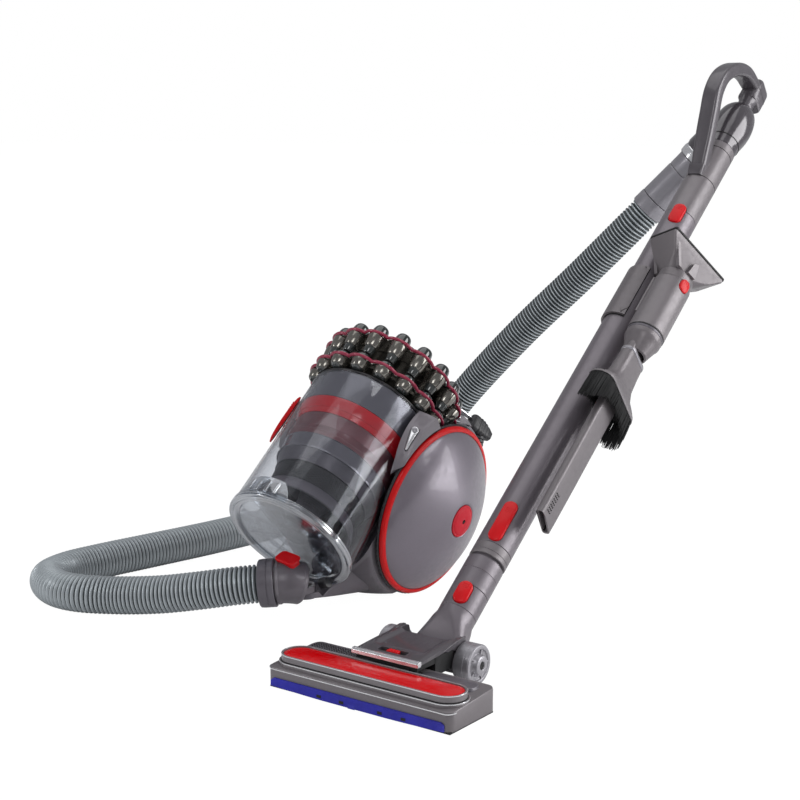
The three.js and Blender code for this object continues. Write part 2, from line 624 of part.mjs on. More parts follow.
const BRUSH = { top: -38, sleeve: -92, rim: -108, tip: -148, halfWidth: 50, halfDepth: 17 };
function dustingBrush() {
  const { top, sleeve, rim, tip, halfWidth, halfDepth } = BRUSH;
  const half = [[halfWidth, rim], [halfWidth, rim + 5], [22, sleeve], [22, top]];
  const mirrored = half.map(([x, z]) => [-x, z]).reverse();
  const flare = sidePrism([...mirrored, ...half], -9, 9);
  const band = prism(rounded(2 * halfWidth, 2 * halfDepth, 16, 3), rim, rim + 6);
  const hair = prism(rounded(2 * halfWidth - 4, 2 * halfDepth - 4, 14, 3), tip, rim + 1);
  const arch = rod(40, -40, 40, 14).rotateX(RIGHT_ANGLE).translate(0, 0, tip - 14);
  const body = join(flare, band, cut(hair, arch)).translate(BLADE.x, 0, 0);
  return cut(body, bladeSlot(1.2, -170, -20));
}
add(tools, 'dusting_brush', dustingBrush(), black);

// ---- floor head ----
const HEAD_Y = WAND.foot[1];
const head = frameAt(machine, [0, HEAD_Y, 0]);
const axle = frameAt(machine, [HEAD.axleX, HEAD_Y, HEAD.axleZ]);

function neckCollar() {
  return cut(pipe(22.4, 18.9, 88.3, STATION.neckSeam, 20), lowerNotch);
}
add(wand, 'neck_collar', neckCollar(), midGrey);

// The neck flares into a barrel that turns on the axle.
const FORK = { halfWidth: 33.5, barrel: 15 };
const YOKE = { armIn: 34, armOut: 40, frontHalf: 43.5, arm: 9, axle: 4 };
function neckFork() {
  const { halfWidth, barrel } = FORK;
  const tube = turned([[0, 44], [17, 44], [22.4, 66], [22.4, 88], [0, 88]], 18);
  const edge = [[22.2, 86], [24, 72], [halfWidth, 46], [halfWidth, 36]];
  const fan = [...edge.map(([y, z]) => [-y, z]), ...edge.reverse()];
  const flare = prism(fan, -11, 11).rotateX(RIGHT_ANGLE).rotateZ(RIGHT_ANGLE);
  const neck = cut(inWand(join(tube, flare)), inWand(rod(16.3, 60, 100, 16)));
  const atAxle = (radius, half) => {
    return rod(radius, -half, half, 18).rotateX(RIGHT_ANGLE).translate(HEAD.axleX, HEAD_Y, HEAD.axleZ);
  };
  return cut(join(neck, atAxle(barrel, halfWidth)), atAxle(YOKE.axle + GAP, 60));
}
add(machine, 'neck_fork', neckFork(), midGrey);

// The yoke carries the wheels on one axle and reaches forward over the back of the head.
function yoke() {
  const plan = [[-84, 43.5], [-4, 40], [-4, -40], [-84, -43.5]];
  const side = [[-84, 18.5], [-84, 22], [-4, 27.5], [-4, 23.5], [-24, 20.5]];
  const plate = solid(sidePrism(side, -60, 60)).intersect(solid(prism(plan, 0, 40)));
  const armSide = [[-24, 20], [-4, 27.4], [4, 26], [10, 8], [8, -7], [-5, -8], [-9, 2], [-10, 14]];
  const arms = BOTH.map((hand) => {
    const edges = [hand * YOKE.armIn, hand * YOKE.armOut];
    return sidePrism(armSide, Math.min(...edges), Math.max(...edges));
  });
  const shaft = rod(YOKE.axle, -64, 64, 12).rotateX(RIGHT_ANGLE);
  const slot = block(8, 36, 20, [-72, 0, 19]);
  const neckRoom = block(18, 69, 40, [-4, 0, 28]);
  const lugs = [-30, 30].map((y) => block(8, 8, 16, [-76, y, 11.6]));
  return join(cut(join(geometryOf(plate), ...arms), slot, neckRoom), shaft, ...lugs);
}
add(axle, 'yoke', yoke(), darkGrey);
add(axle, 'suction_slider', block(7, 15, 3, [-72, 0, 22.2]), red);
BOTH.forEach((side) => {
  const bore = YOKE.axle + GAP;
  const tread = [[bore, 41], [22.5, 41], [22.5, 62], [17, 66], [bore, 66]];
  const name = side < 0 ? 'left' : 'right';
  add(axle, `head_wheel_${name}`, turned(tread, 20, true).rotateX(-side * RIGHT_ANGLE), chrome);
});

function headBody() {
  const side = [[-384, 2], [-384, 22], [-379, 27], [-306, 30], [-302, 26], [-302, 2]];
  const shell = sidePrism(side, -HEAD.halfWidth, HEAD.halfWidth);
  const channel = block(26, 212, 14, [-356, 0, 2]);
  const pockets = [-30, 30].map((y) => block(14, 11, 16, [-322, y, 33]));
  const throat = rod(14, 8, 60, 16).translate(-320, 0, 0);
  return cut(shell, channel, ...pockets, throat);
}
add(head, 'head_body', headBody(), midGrey);
const panelFrame = prism(rounded(40, 234, 19.8, 4), 29.2, 36);
add(head, 'head_panel', panelFrame.translate(-356, 0, 0), red);
const soleSheet = block(78, 236, 1.6, [-343, 0, 0.8]);
const sole = cut(soleSheet, block(26, 212, 8, [-356, 0, 0]), rod(14, -8, 60, 16).translate(-320, 0, 0));
add(head, 'sole_plate', sole, black);
add(head, 'felt_strip', block(3, 222, 10, [-385.8, 0, 7]), blue);

export default assembly;
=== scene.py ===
"""The looks of a canister vacuum cleaner on a ball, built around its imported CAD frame.

Shapes are in millimetres, in frames measured from the floor under the ball. mesh_from() turns them
into metres from the CAD's own origin.
"""

import random
from math import cos, degrees, exp, pi, radians, sin

import bmesh
import bpy
from mathutils import Matrix, Vector


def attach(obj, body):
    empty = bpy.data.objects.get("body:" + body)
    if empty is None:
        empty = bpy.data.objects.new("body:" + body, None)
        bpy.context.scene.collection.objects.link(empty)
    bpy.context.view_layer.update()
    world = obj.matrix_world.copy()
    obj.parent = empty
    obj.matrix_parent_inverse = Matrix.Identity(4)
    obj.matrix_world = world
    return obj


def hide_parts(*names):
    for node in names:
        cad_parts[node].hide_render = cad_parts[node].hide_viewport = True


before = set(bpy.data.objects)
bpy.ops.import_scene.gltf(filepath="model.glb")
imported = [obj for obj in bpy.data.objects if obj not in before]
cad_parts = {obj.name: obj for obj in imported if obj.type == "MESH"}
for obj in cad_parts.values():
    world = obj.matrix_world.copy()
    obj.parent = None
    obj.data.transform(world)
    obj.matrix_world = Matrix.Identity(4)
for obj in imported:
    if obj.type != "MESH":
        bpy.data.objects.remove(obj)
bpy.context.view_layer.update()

MM = 0.001
FULL_TURN = 2 * pi
BOTH = (-1, 1)
SIDE_NAME = {-1: "left", 1: "right"}


# ---------------------------------------------------------------- frames
def at(x, y, z):
    return Matrix.Translation((x, y, z))


def turn(angle, axis):
    return Matrix.Rotation(radians(angle), 4, axis)


def aimed(place, direction):
    """A frame at a place whose +Z looks along a direction by the shortest turn."""
    spin = Vector((0, 0, 1)).rotation_difference(Vector(direction).normalized())
    return Matrix.Translation(place) @ spin.to_matrix().to_4x4()


BALL_PLACE = Vector((323, 180, 0))
BIN_TILT, WHEEL_TILT, WAND_RISE = 51.8, 100.9, 38.74
WAND_Y = -256
TOOL_REACH, TOOL_SIDE = 50, radians(13)

BIN = at(-184.6, 0, 101.1) @ turn(BIN_TILT, "Y")
WAND = at(-266.3, WAND_Y, 0) @ turn(90 - WAND_RISE, "Y")
TOOL_X, TOOL_Y = -TOOL_REACH * sin(TOOL_SIDE), -TOOL_REACH * cos(TOOL_SIDE)
TOOLS = WAND @ at(TOOL_X, TOOL_Y, 527)
HEAD = at(0, WAND_Y, 0)
AXLE = at(-246, WAND_Y, 22.6)
WHEEL = {side: at(0, side * 85.1, 110.6) @ turn(-side * WHEEL_TILT, "X") for side in BOTH}
PIVOT = at(-158, 0, 0)
MOUTH, MOUTH_OUT = Vector((-214, 2, 51)), Vector((-0.55, 0.83, -0.09))
NOSE = aimed(MOUTH, MOUTH_OUT)
CATCH = aimed((-206, -14, 78.5), (-0.3, -0.15, 0.94))
CUFF_DOWN = Vector((-0.226, 0.66, -0.716))
ELBOW_AT = WAND @ Vector((0, 0, 950))
CUFF = aimed(ELBOW_AT, CUFF_DOWN)
PLUG_AT, PLUG_ALONG = Vector((150, -50, 189)), Vector((-0.6, 0.5, 0.62))
CORD_MOUTH, CORD_OUT = Vector((134, -57, 152)), Vector((0.92, -0.38, 0.1))


# ---------------------------------------------------------------- shapes
class Shape:
    """Points and faces in millimetres, with a material number for each face."""

    def __init__(self):
        self.points, self.faces, self.slots = [], [], []

    def add(self, part, place=None, slot=0):
        """slot is a number, or a function of a face's middle point in the part's own frame."""
        points, faces = part
        base = len(self.points)
        points = [Vector(p) for p in points]
        for face in faces:
            middle = sum((points[i] for i in face), Vector()) / len(face)
            self.slots.append(slot(middle) if callable(slot) else slot)
            self.faces.append([base + i for i in face])
        self.points += [place @ p if place else p for p in points]
        return self


def one(part, place=None, slot=0):
    return Shape().add(part, place, slot)


def loft(rings, closed=False):
    """A skin over rings of points: capped at both ends, or closed on itself."""
    count = len(rings[0])
    points = [p for ring in rings for p in ring]
    faces = []
    for i in range(len(rings) if closed else len(rings) - 1):
        a, b = i * count, (i + 1) % len(rings) * count
        faces += [[a + j, a + (j + 1) % count, b + (j + 1) % count, b + j] for j in range(count)]
    if not closed:
        faces.append(list(range(count))[::-1])
        faces.append([(len(rings) - 1) * count + j for j in range(count)])
    return points, faces


def round_outline(radius, sides):
    angles = [FULL_TURN * i / sides for i in range(sides)]
    return [(radius * cos(a), radius * sin(a)) for a in angles]


def level(outline, z):
    return [(x, y, z) for x, y in outline]


def lathe(profile, sides=96, ring=False):
    """A turned shape about +Z from (radius, height) points. A ring's profile closes on itself."""
    return loft([level(round_outline(r, sides), z) for r, z in profile], ring)


def sleeve(profile, place, slot=0, sides=96):
    return one(lathe(profile, sides, True), place, slot)


def rod(radius, low, high, sides=48):
    return lathe([(0, low), (radius, low), (radius, high), (0, high)], sides)


def eased_rod(radius, low, high, ease=0.8, sides=32):
    profile = [(0, low), (radius - ease, low), (radius, low + ease)]
    return lathe(profile + [(radius, high - ease), (radius - ease, high), (0, high)], sides)


def flat(outline, low, high):
    """A flat outline of (x, y) points pulled up along +Z."""
    return loft([level(outline, z) for z in (low, high)])


def across(outline, low, high):
    """A side outline of (x, z) points pulled along +Y."""
    return loft([[(x, y, z) for x, z in outline] for y in (low, high)])


def box(x, y, z, middle=(0, 0, 0)):
    mx, my, mz = middle
    outline = [(mx + sx * x / 2, my + sy * y / 2) for sx, sy in ((-1, -1), (1, -1), (1, 1), (-1, 1))]
    return flat(outline, mz - z / 2, mz + z / 2)


def rounded(length, breadth, radius, steps=6):
    """A rectangle with round corners."""
    out = []
    for quarter, (sx, sy) in enumerate(((1, 1), (-1, 1), (-1, -1), (1, -1))):
        for i in range(steps + 1):
            a = (quarter + i / steps) * pi / 2
            cx, cy = sx * (length / 2 - radius), sy * (breadth / 2 - radius)
            out.append((cx + radius * cos(a), cy + radius * sin(a)))
    return out


def crowned(outline_at, heights):
    """A stack of outlines: heights holds (z, inset) pairs, and outline_at(inset) gives the outline."""
    return loft([level(outline_at(inset), z) for z, inset in heights])


def crowned_block(length, breadth, radius, heights, steps=6):
    """A block with round corners whose sides draw in by the inset at each height."""
    return crowned(lambda i: rounded(length - 2 * i, breadth - 2 * i, radius - i, steps), heights)


def spline(points, steps=8):
    """Points along a centripetal Catmull-Rom curve through the given points."""
    pts = [Vector(p) for p in points]
    pts = [2 * pts[0] - pts[1]] + pts + [2 * pts[-1] - pts[-2]]
    out = []
    for i in range(1, len(pts) - 2):
        p0, p1, p2, p3 = pts[i - 1 : i + 3]
        t0 = 0.0
        t1 = t0 + (p1 - p0).length ** 0.5
        t2 = t1 + (p2 - p1).length ** 0.5
        t3 = t2 + (p3 - p2).length ** 0.5
        for k in range(steps):
            t = t1 + (t2 - t1) * k / steps
            a1 = p0.lerp(p1, (t - t0) / (t1 - t0))
            a2 = p1.lerp(p2, (t - t1) / (t2 - t1))
            a3 = p2.lerp(p3, (t - t2) / (t3 - t2))
            b1 = a1.lerp(a2, (t - t0) / (t2 - t0))
            b2 = a2.lerp(a3, (t - t1) / (t3 - t1))
            out.append(b1.lerp(b2, (t - t1) / (t2 - t1)))
    return out + [pts[-2]]


def spaced(points, gap):
    """The same line cut into steps of about one length."""
    lengths = [0.0]
    for a, b in zip(points, points[1:]):
        lengths.append(lengths[-1] + (b - a).length)
    count = max(1, round(lengths[-1] / gap))
    out, i = [], 0
    for k in range(count + 1):
        want = lengths[-1] * k / count
        while i < len(points) - 2 and lengths[i + 1] < want:
            i += 1
        span = lengths[i + 1] - lengths[i]
        out.append(points[i].lerp(points[i + 1], (want - lengths[i]) / span))
    return out


def swept(points, outline_at, up=(0, 0, 1)):
    """An outline of (side, up) points carried along a line without twisting."""
    normal = Vector(up)
    rings = []
    for i, p in enumerate(points):
        along = (points[min(i + 1, len(points) - 1)] - points[max(i - 1, 0)]).normalized()
        normal = (normal - normal.dot(along) * along).normalized()
        side = normal.cross(along)
        rings.append([p + u * side + v * normal for u, v in outline_at(i)])
    return loft(rings)


def smooth_profile(points, steps):
    return [(max(p.x, 0.0), p.y) for p in spline([(r, z, 0) for r, z in points], steps)]


# ---------------------------------------------------------------- materials
def linear(code):
    channels = [int(code[i : i + 2], 16) / 255 for i in (0, 2, 4)]
    return [c / 12.92 if c <= 0.04045 else ((c + 0.055) / 1.055) ** 2.4 for c in channels] + [1.0]


class Nodes:
    """The node tree of a material or a world, cleared and ready to fill."""

    def __init__(self, owner):
        owner.use_nodes = True
        self.tree = owner.node_tree
        self.tree.nodes.clear()

    def new(self, kind, **values):
        node = self.tree.nodes.new("ShaderNode" + kind)
        for key, value in values.items():
            if hasattr(node, key):
                setattr(node, key, value)
            else:
                node.inputs[key.replace("_", " ")].default_value = value
        return node

    def link(self, a, b):
        self.tree.links.new(a, b)

    def noise(self, scale, detail=3.0, stretch=(1, 1, 1)):
        where = self.new("TexCoord")
        mapping = self.new("Mapping", Scale=stretch)
        texture = self.new("TexNoise", Scale=scale, Detail=detail)
        self.link(where.outputs["Object"], mapping.inputs["Vector"])
        self.link(mapping.outputs["Vector"], texture.inputs["Vector"])
        return texture.outputs["Fac"]

    def spread(self, value, low, high, start=0.3, end=0.7):
        node = self.new("MapRange", From_Min=start, From_Max=end, To_Min=low, To_Max=high)
        self.link(value, node.inputs["Value"])
        return node.outputs["Result"]

    def blend(self, factor, a, b):
        node = self.new("Mix", data_type="RGBA")
        for socket, value in ((node.inputs[0], factor), (node.inputs[6], a), (node.inputs[7], b)):
            if isinstance(value, bpy.types.NodeSocket):
                self.link(value, socket)
            else:
                socket.default_value = value
        return node.outputs[2]

    def bump(self, height, strength, distance):
        node = self.new("Bump", Strength=strength, Distance=distance)
        self.link(height, node.inputs["Height"])
        return node.outputs["Normal"]

    def mix(self, factor, first, second):
        node = self.new("MixShader")
        for i, source in enumerate((factor, first, second)):
            self.link(source, node.inputs[i])
        return node.outputs[0]

    def out(self, shader, kind="Material"):
        self.link(shader, self.new("Output" + kind).inputs["Surface"])


MATERIALS = {}


def nodes_for(name):
    MATERIALS[name] = bpy.data.materials.new(name)
    return Nodes(MATERIALS[name])


# Noise scales in waves per metre, and the height of the finest bumps in metres.
CLOUDS, SMUDGES, SPECKS, GRAIN, GRAIN_HEIGHT = 28, 160, 420, 520, 0.000012


def finish(name, colour, rough, metal, mottle, grain, coat=0.0, edge=0.12, shine=0.5, stretch=(1, 1, 1)):
    """A moulded or painted finish: cloudy colour, fine grain in roughness and bump, paler sharp edges."""
    n = nodes_for(name)
    base = linear(colour)[:3]

    def tint(factor, lift=0.0):
        return [min(1, c * factor + lift) for c in base] + [1]

    clouds = n.spread(n.noise(CLOUDS, 4, stretch), 0, 1)
    tone = n.blend(clouds, tint(1 - 2.2 * mottle), tint(1 + 2.2 * mottle))
    specks = n.spread(n.noise(SPECKS, 2), 0, 0.5, 0.4, 0.7)
    tone = n.blend(specks, tone, tint(1 + 1.5 * mottle))
    shape = n.new("NewGeometry")
    # colour lifted on sharp convex edges, found by pointiness
    sharp_edge_lift = n.spread(shape.outputs["Pointiness"], 0, edge * 2, 0.52, 0.62)
    tone = n.blend(sharp_edge_lift, tone, tint(1.8, 0.12))
    body = n.new("BsdfPrincipled", Metallic=metal, Coat_Weight=coat, Coat_Roughness=0.06)
    body.inputs["Specular IOR Level"].default_value = shine
    n.link(tone, body.inputs["Base Color"])
    roughness = n.spread(n.noise(SMUDGES, 4), max(0.02, rough - 0.06), rough + 0.07)
    n.link(roughness, body.inputs["Roughness"])
    n.link(n.bump(n.noise(GRAIN, 2), grain * 0.5, GRAIN_HEIGHT), body.inputs["Normal"])
    n.out(body.outputs["BSDF"])


def clear(name, tint, low, high, rough, wave, falloff, haze=0.04):
    """Clear plastic: see-through face on, mirror-like at a grazing angle, with faint scuffs and waves."""
    n = nodes_for(name)
    weight = n.new("LayerWeight", Blend=0.5)
    power = n.new("Math", operation="POWER")
    n.link(weight.outputs["Facing"], power.inputs[0])
    power.inputs[1].default_value = falloff
    facing = n.spread(power.outputs[0], low, high, 0.0, 1.0)
    total = n.new("Math", operation="ADD", use_clamp=True)
    n.link(facing, total.inputs[0])
    n.link(n.spread(n.noise(40, 5, (1, 1, 3)), 0.0, haze), total.inputs[1])
    through = n.new("BsdfTransparent", Color=linear(tint))
    gloss = n.new("BsdfPrincipled", Metallic=1.0, Base_Color=linear("eef0f4"))
    n.link(n.spread(n.noise(240), rough, rough + 0.06), gloss.inputs["Roughness"])
    n.link(n.bump(n.noise(60, 2), wave, 0.0002), gloss.inputs["Normal"])
    n.out(n.mix(total.outputs[0], through.outputs[0], gloss.outputs[0]))


def perforated(name, colour, hole):
    """Dark metal with a fine field of round holes."""
    n = nodes_for(name)
    where = n.new("TexCoord")
    cells = n.new("TexVoronoi", Scale=420, Randomness=0.12)
    n.link(where.outputs["Object"], cells.inputs["Vector"])
    dots = n.spread(cells.outputs["Distance"], 1, 0, 0.30, 0.42)
    tone = n.blend(dots, linear(colour), linear(hole))
    body = n.new("BsdfPrincipled", Metallic=0.4, Roughness=0.4)
    n.link(tone, body.inputs["Base Color"])
    n.link(n.bump(cells.outputs["Distance"], 0.8, 0.0006), body.inputs["Normal"])
    n.out(body.outputs["BSDF"])


# name: colour, roughness, metal, mottle, grain, coat, pale edge, shine, stretch of the clouds
FINISHES = {
    "dome_grey": ("78727b", 0.37, 0.45, 0.015, 0.05, 0.3, 0.05),
    "body_grey": ("625d63", 0.38, 0.25, 0.03, 0.2, 0.05),
    "dark_grey": ("57535a", 0.38, 0.25, 0.03, 0.2, 0.05),
    "wand_grey": ("6a646a", 0.37, 0.35, 0.015, 0.05, 0.15, 0.06, 0.5, (1, 1, 0.3)),
    "tool_grey": ("686366", 0.38, 0.25, 0.03, 0.2, 0.0, 0.15),
    "grip_grey": ("4f4b50", 0.36, 0.30, 0.02, 0.1, 0.4, 0.08),
    "cuff_grey": ("87858b", 0.36, 0.45, 0.012, 0.05, 0.3, 0.06),
    "elbow_grey": ("4a464b", 0.18, 0.30, 0.015, 0.05, 0.6, 0.06),
    "collar_grey": ("6d6a71", 0.19, 0.35, 0.02, 0.05, 0.5),
    "gunmetal": ("77746e", 0.19, 0.85, 0.05, 0.05, 0.3),
    "smoke": ("1b2120", 0.12, 0.15, 0.10, 0.05, 0.9),
    "crimson": ("8c1238", 0.37, 0.15, 0.04, 0.05, 0.5, 0.0),
    "ring_red": ("c0040a", 0.37, 0.0, 0.03, 0.05, 0.1, 0.03, 0.2),
    "cap_red": ("b60f24", 0.55, 0.0, 0.03, 0.2, 0.0, 0.05, 0.25),
    "catch_red": ("c4000c", 0.37, 0.0, 0.03, 0.05, 0.12, 0.04, 0.2),
    "panel_red": ("cc0006", 0.18, 0.0, 0.02, 0.03, 0.2, 0.03, 0.25),
    "band_red": ("c8101e", 0.18, 0.0, 0.03, 0.05, 0.4, 0.0, 0.3),
    "dusty_rose": ("6b3a40", 0.36, 0.2, 0.08, 0.05, 0.3, 0.0),
    "black_plastic": ("17161a", 0.42, 0.0, 0.10, 0.3, 0.0, 0.1),
    # black for real seams and joints, and also painted shade in hollows and under the floor head's plate
    "seam_black": ("0b0b0d", 0.7, 0.0, 0.2, 0.2, 0.0, 0.0),
    "bristle": ("050507", 0.75, 0.0, 0.2, 0.3, 0.1, 0.12, 0.15),
    "silver": ("d4d4d7", 0.18, 0.75, 0.02, 0.05, 0.2, 0.05),
    "wheel_silver": ("98969b", 0.37, 0.6, 0.02, 0.08, 0.1, 0.08),
    "hose_ridge": ("a2a9ad", 0.38, 0.35, 0.03, 0.08, 0.1, 0.1),
    # the dark colour of the hose's folds: painted shade
    "hose_groove": ("2f3538", 0.50, 0.10, 0.05, 0.1),
    "felt_blue": ("2a2a9a", 0.9, 0.0, 0.10, 1.0, 0.0, 0.1),
    "filter_white": ("dcdcd8", 0.9, 0.0, 0.06, 1.0),
}
for finish_name, finish_values in FINISHES.items():
    finish(finish_name, *finish_values)
clear("bin_clear", "f2f3f5", 0.035, 0.85, 0.05, 0.02, 4.0, 0.015)
clear("base_clear", "e2e5e8", 0.12, 0.9, 0.08, 0.10, 2.0)
clear("rim_clear", "b4b9bf", 0.30, 0.95, 0.10, 0.10, 1.5)
clear("smoky_clear", "a5a2a8", 0.25, 0.85, 0.12, 0.1, 2.0)
perforated("mesh_black", "2a292c", "050505")


# ---------------------------------------------------------------- pieces
WELD_GAP = 2e-6
BEVEL_ANGLE = 32


def linked(name, data):
    obj = bpy.data.objects.new(name, data)
    bpy.context.scene.collection.objects.link(obj)
    return obj


def mesh_from(name, shape):
    data = bpy.data.meshes.new(name)
    data.from_pydata([(p + BALL_PLACE) * MM for p in shape.points], [], shape.faces)
    data.polygons.foreach_set("material_index", shape.slots)
    bm = bmesh.new()
    bm.from_mesh(data)
    bmesh.ops.remove_doubles(bm, verts=bm.verts, dist=WELD_GAP)
    bmesh.ops.recalc_face_normals(bm, faces=bm.faces)
    bm.to_mesh(data)
    bm.free()
    return data


def carve(data, cutters):
    """The mesh with the cutter shapes taken away from it."""
    target = linked("carving", data)
    tools = []
    for shape in cutters:
        tool = linked("cutter", mesh_from("cutter", shape))
        modifier = target.modifiers.new("cut", "BOOLEAN")
        modifier.operation, modifier.solver, modifier.object = "DIFFERENCE", "EXACT", tool
        tools.append(tool)
    graph = bpy.context.evaluated_depsgraph_get()
    carved = bpy.data.meshes.new_from_object(target.evaluated_get(graph))
    for item in [target, *tools]:
        bpy.data.objects.remove(item)
    return carved


def piece(name, shape, finishes, body, node="", bevel=0.0, sharp=38, cuts=()):
    """An object that rides on a CAD body and stands for a CAD node. finishes is a line of names."""
    data = mesh_from(name, shape)
    if cuts:
        data = carve(data, cuts)
    for finish_name in finishes.split():
        data.materials.append(MATERIALS[finish_name])
    data.polygons.foreach_set("use_smooth", [True] * len(data.polygons))
    data.set_sharp_from_angle(angle=radians(sharp))
    obj = linked(name, data)
    if bevel:
        soft = obj.modifiers.new("soft_edges", "BEVEL")
        soft.width, soft.segments, soft.limit_method = bevel * MM, 2, "ANGLE"
        soft.angle_limit, soft.harden_normals = radians(BEVEL_ANGLE), True
    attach(obj, body)
    if node:
        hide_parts(node)


def recoat(node, finish_name):
    """A carried-over CAD node keeps its shape and gets a finish."""
    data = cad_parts[node].data
    data.materials.clear()
    data.materials.append(MATERIALS[finish_name])


# ---------------------------------------------------------------- wheels
DOME_RIM, DOME_HEIGHT, DOME_POWER = 106.6, 46.0, 1.38
SHELL_RIM, SHELL_HEIGHT = 104.1, 43.5
NOTCH_DEPTH, NOTCH_EVERY = 0.006, 4


def dome(radius, height=DOME_HEIGHT, rim=DOME_RIM):
    return height * max(0.0, 1 - (radius / rim) ** DOME_POWER) ** (1 / DOME_POWER)


def notched(ring):
    """A tread line with a shallow notch at every fourth point."""
    shrink = [1 - NOTCH_DEPTH * (i % NOTCH_EVERY == 0) for i in range(len(ring))]
    return [(x * s, y * s, z) for (x, y, z), s in zip(ring, shrink)]


def wheel(side):
    name, place = SIDE_NAME[side], WHEEL[side]
    body = f"wheel_{name}"
    outside = [DOME_RIM - (DOME_RIM - 23) * (i / 44) ** 1.7 for i in range(45)]
    inside = [24 + (SHELL_RIM - 24) * (i / 24) for i in range(25)]
    profile = [(DOME_RIM, -3), *[(r, dome(r)) for r in outside]]
    profile += [(22.3, dome(22.4) - 0.5), (21.3, dome(21) - 1.6)]
    profile += [(21.3, 40), (12.3, 40), (12.3, 27), (16, 27), (16, 37.5)]
    profile += [(r, dome(r, SHELL_HEIGHT, SHELL_RIM)) for r in inside] + [(SHELL_RIM, -3)]
    shell = sleeve(profile, place, sides=160)
    piece(f"{body}_dome", shell, "dome_grey", body, f"wheel_shell_{name}", sharp=50)
    band = [(107, -3), (111.6, -3), (112, -2.2), (111.9, -0.5), (111, 1.2), (109.4, 2.3), (107.2, 2.9)]
    band += [(105.8, 2.9), (105.6, 1.9), (107, 0.9)]
    ring = sleeve(band, place, sides=160)
    piece(f"{body}_ring", ring, "ring_red", body, f"wheel_ring_{name}", sharp=50)
    tread = [(99, -7), (112.6, -7), (113.8, -6.2), (113.8, -4.2), (112.8, -3.3), (99, -3.3)]
    rings = [level(round_outline(r, 360), z) for r, z in tread]
    rings[2:4] = [notched(ring) for ring in rings[2:4]]
    tyre = one(loft(rings, True), place)
    piece(f"{body}_tyre", tyre, "black_plastic", body, f"wheel_tyre_{name}", sharp=30)
    cap = [(0, 40.3), (20.6, 40.3), (21, 40.7), (21, 41.9), (20.4, 42.7), (18.9, 43.1), (18.4, 42.8)]
    cap += [(17.9, 43.3), (14, 44), (9, 44.6), (3.4, 44.95), (2.7, 44.6), (2.5, 43.2), (0, 43.2)]
    shape = one(lathe(cap), place, lambda m: 1 if m.xy.length < 2.6 and m.z > 43 else 0)
    shape.add(box(6.4, 1, 0.5, (0, 0, 45)), place, 1)
    piece(f"{body}_cap", shape, "cap_red seam_black", f"cap_{name}", f"wheel_cap_{name}", sharp=35)


for hand in BOTH:
    wheel(hand)

# ---------------------------------------------------------------- chassis
BALL_RADIUS, BALL_HEIGHT = 141, 127
SHOULDER_RADIUS = 90.6
BIG = 400


def half_circle(radius, steps, height=0):
    """The profile of a ball, from its foot to its top."""
    angles = [pi * i / steps for i in range(steps + 1)]
    return [(radius * sin(a), height - radius * cos(a)) for a in angles]


def tongue():
    """The hull that carries the bin, from the pivot boss back into the ball."""
    sections = [(-158, 15, 20, 28.5), (-140, 22, 18.6, 29), (-122, 31, 17, 44), (-104, 39, 15, 66)]
    sections += [(-84, 46, 12.5, 84), (-60, 51, 10, 90), (-20, 56, 8.5, 95)]
    rings = []
    for x, half, low, high in sections:
        radius = min(half, (high - low) / 2) * 0.62
        ring = rounded(2 * half, high - low, radius)
        rings.append([(x, y, z + (low + high) / 2) for y, z in ring])
    return loft(rings)


def button_frame(side):
    place, out = (-72.3, side * 99.3, 217.7), (-0.688, side * 0.434, 0.582)
    return aimed(place, out) @ turn(degrees(-0.2 * side), "Z")


def teardrop(grow):
    """A round head with a long narrow tail, along x."""
    head, tail = 4.9 + grow, 1.5 + grow
    arc = [radians(-84 + 168 * i / 14) for i in range(15)]
    end = [radians(96 + 168 * i / 8) for i in range(9)]
    out = [(11.8 + head * cos(a), head * sin(a)) for a in arc]
    return out + [(-15.2 + tail * cos(a), tail * sin(a)) for a in end]


def bin_room():
    return [one(rod(87.8, -20, 212, 128), BIN), one(rod(112, 204, 340, 96), BIN)]


def shoulder(side):
    """The bulge over a wheel, as a ball clipped to its own side and to the tyre's room."""
    shape = one(lathe(half_circle(SHOULDER_RADIUS, 48)), at(-10, side * 60, 165))
    cuts = [one(box(BIG, BIG, BIG, (0, -side * 148, 165)))]
    cuts.append(one(rod(117, -9.5, 120, 128), WHEEL[side]))
    cuts.append(one(box(BIG, BIG, 100, (0, 0, 51)), WHEEL[side]))
    cuts += bin_room()
    cuts.append(one(box(80, 177, 224, (-40, 0, 92)), BIN))
    cuts.append(one(flat(teardrop(0.9), -7, 30), button_frame(side)))
    piece(f"shoulder_{SIDE_NAME[side]}", shape, "body_grey", "chassis", bevel=0.8, cuts=cuts, sharp=30)


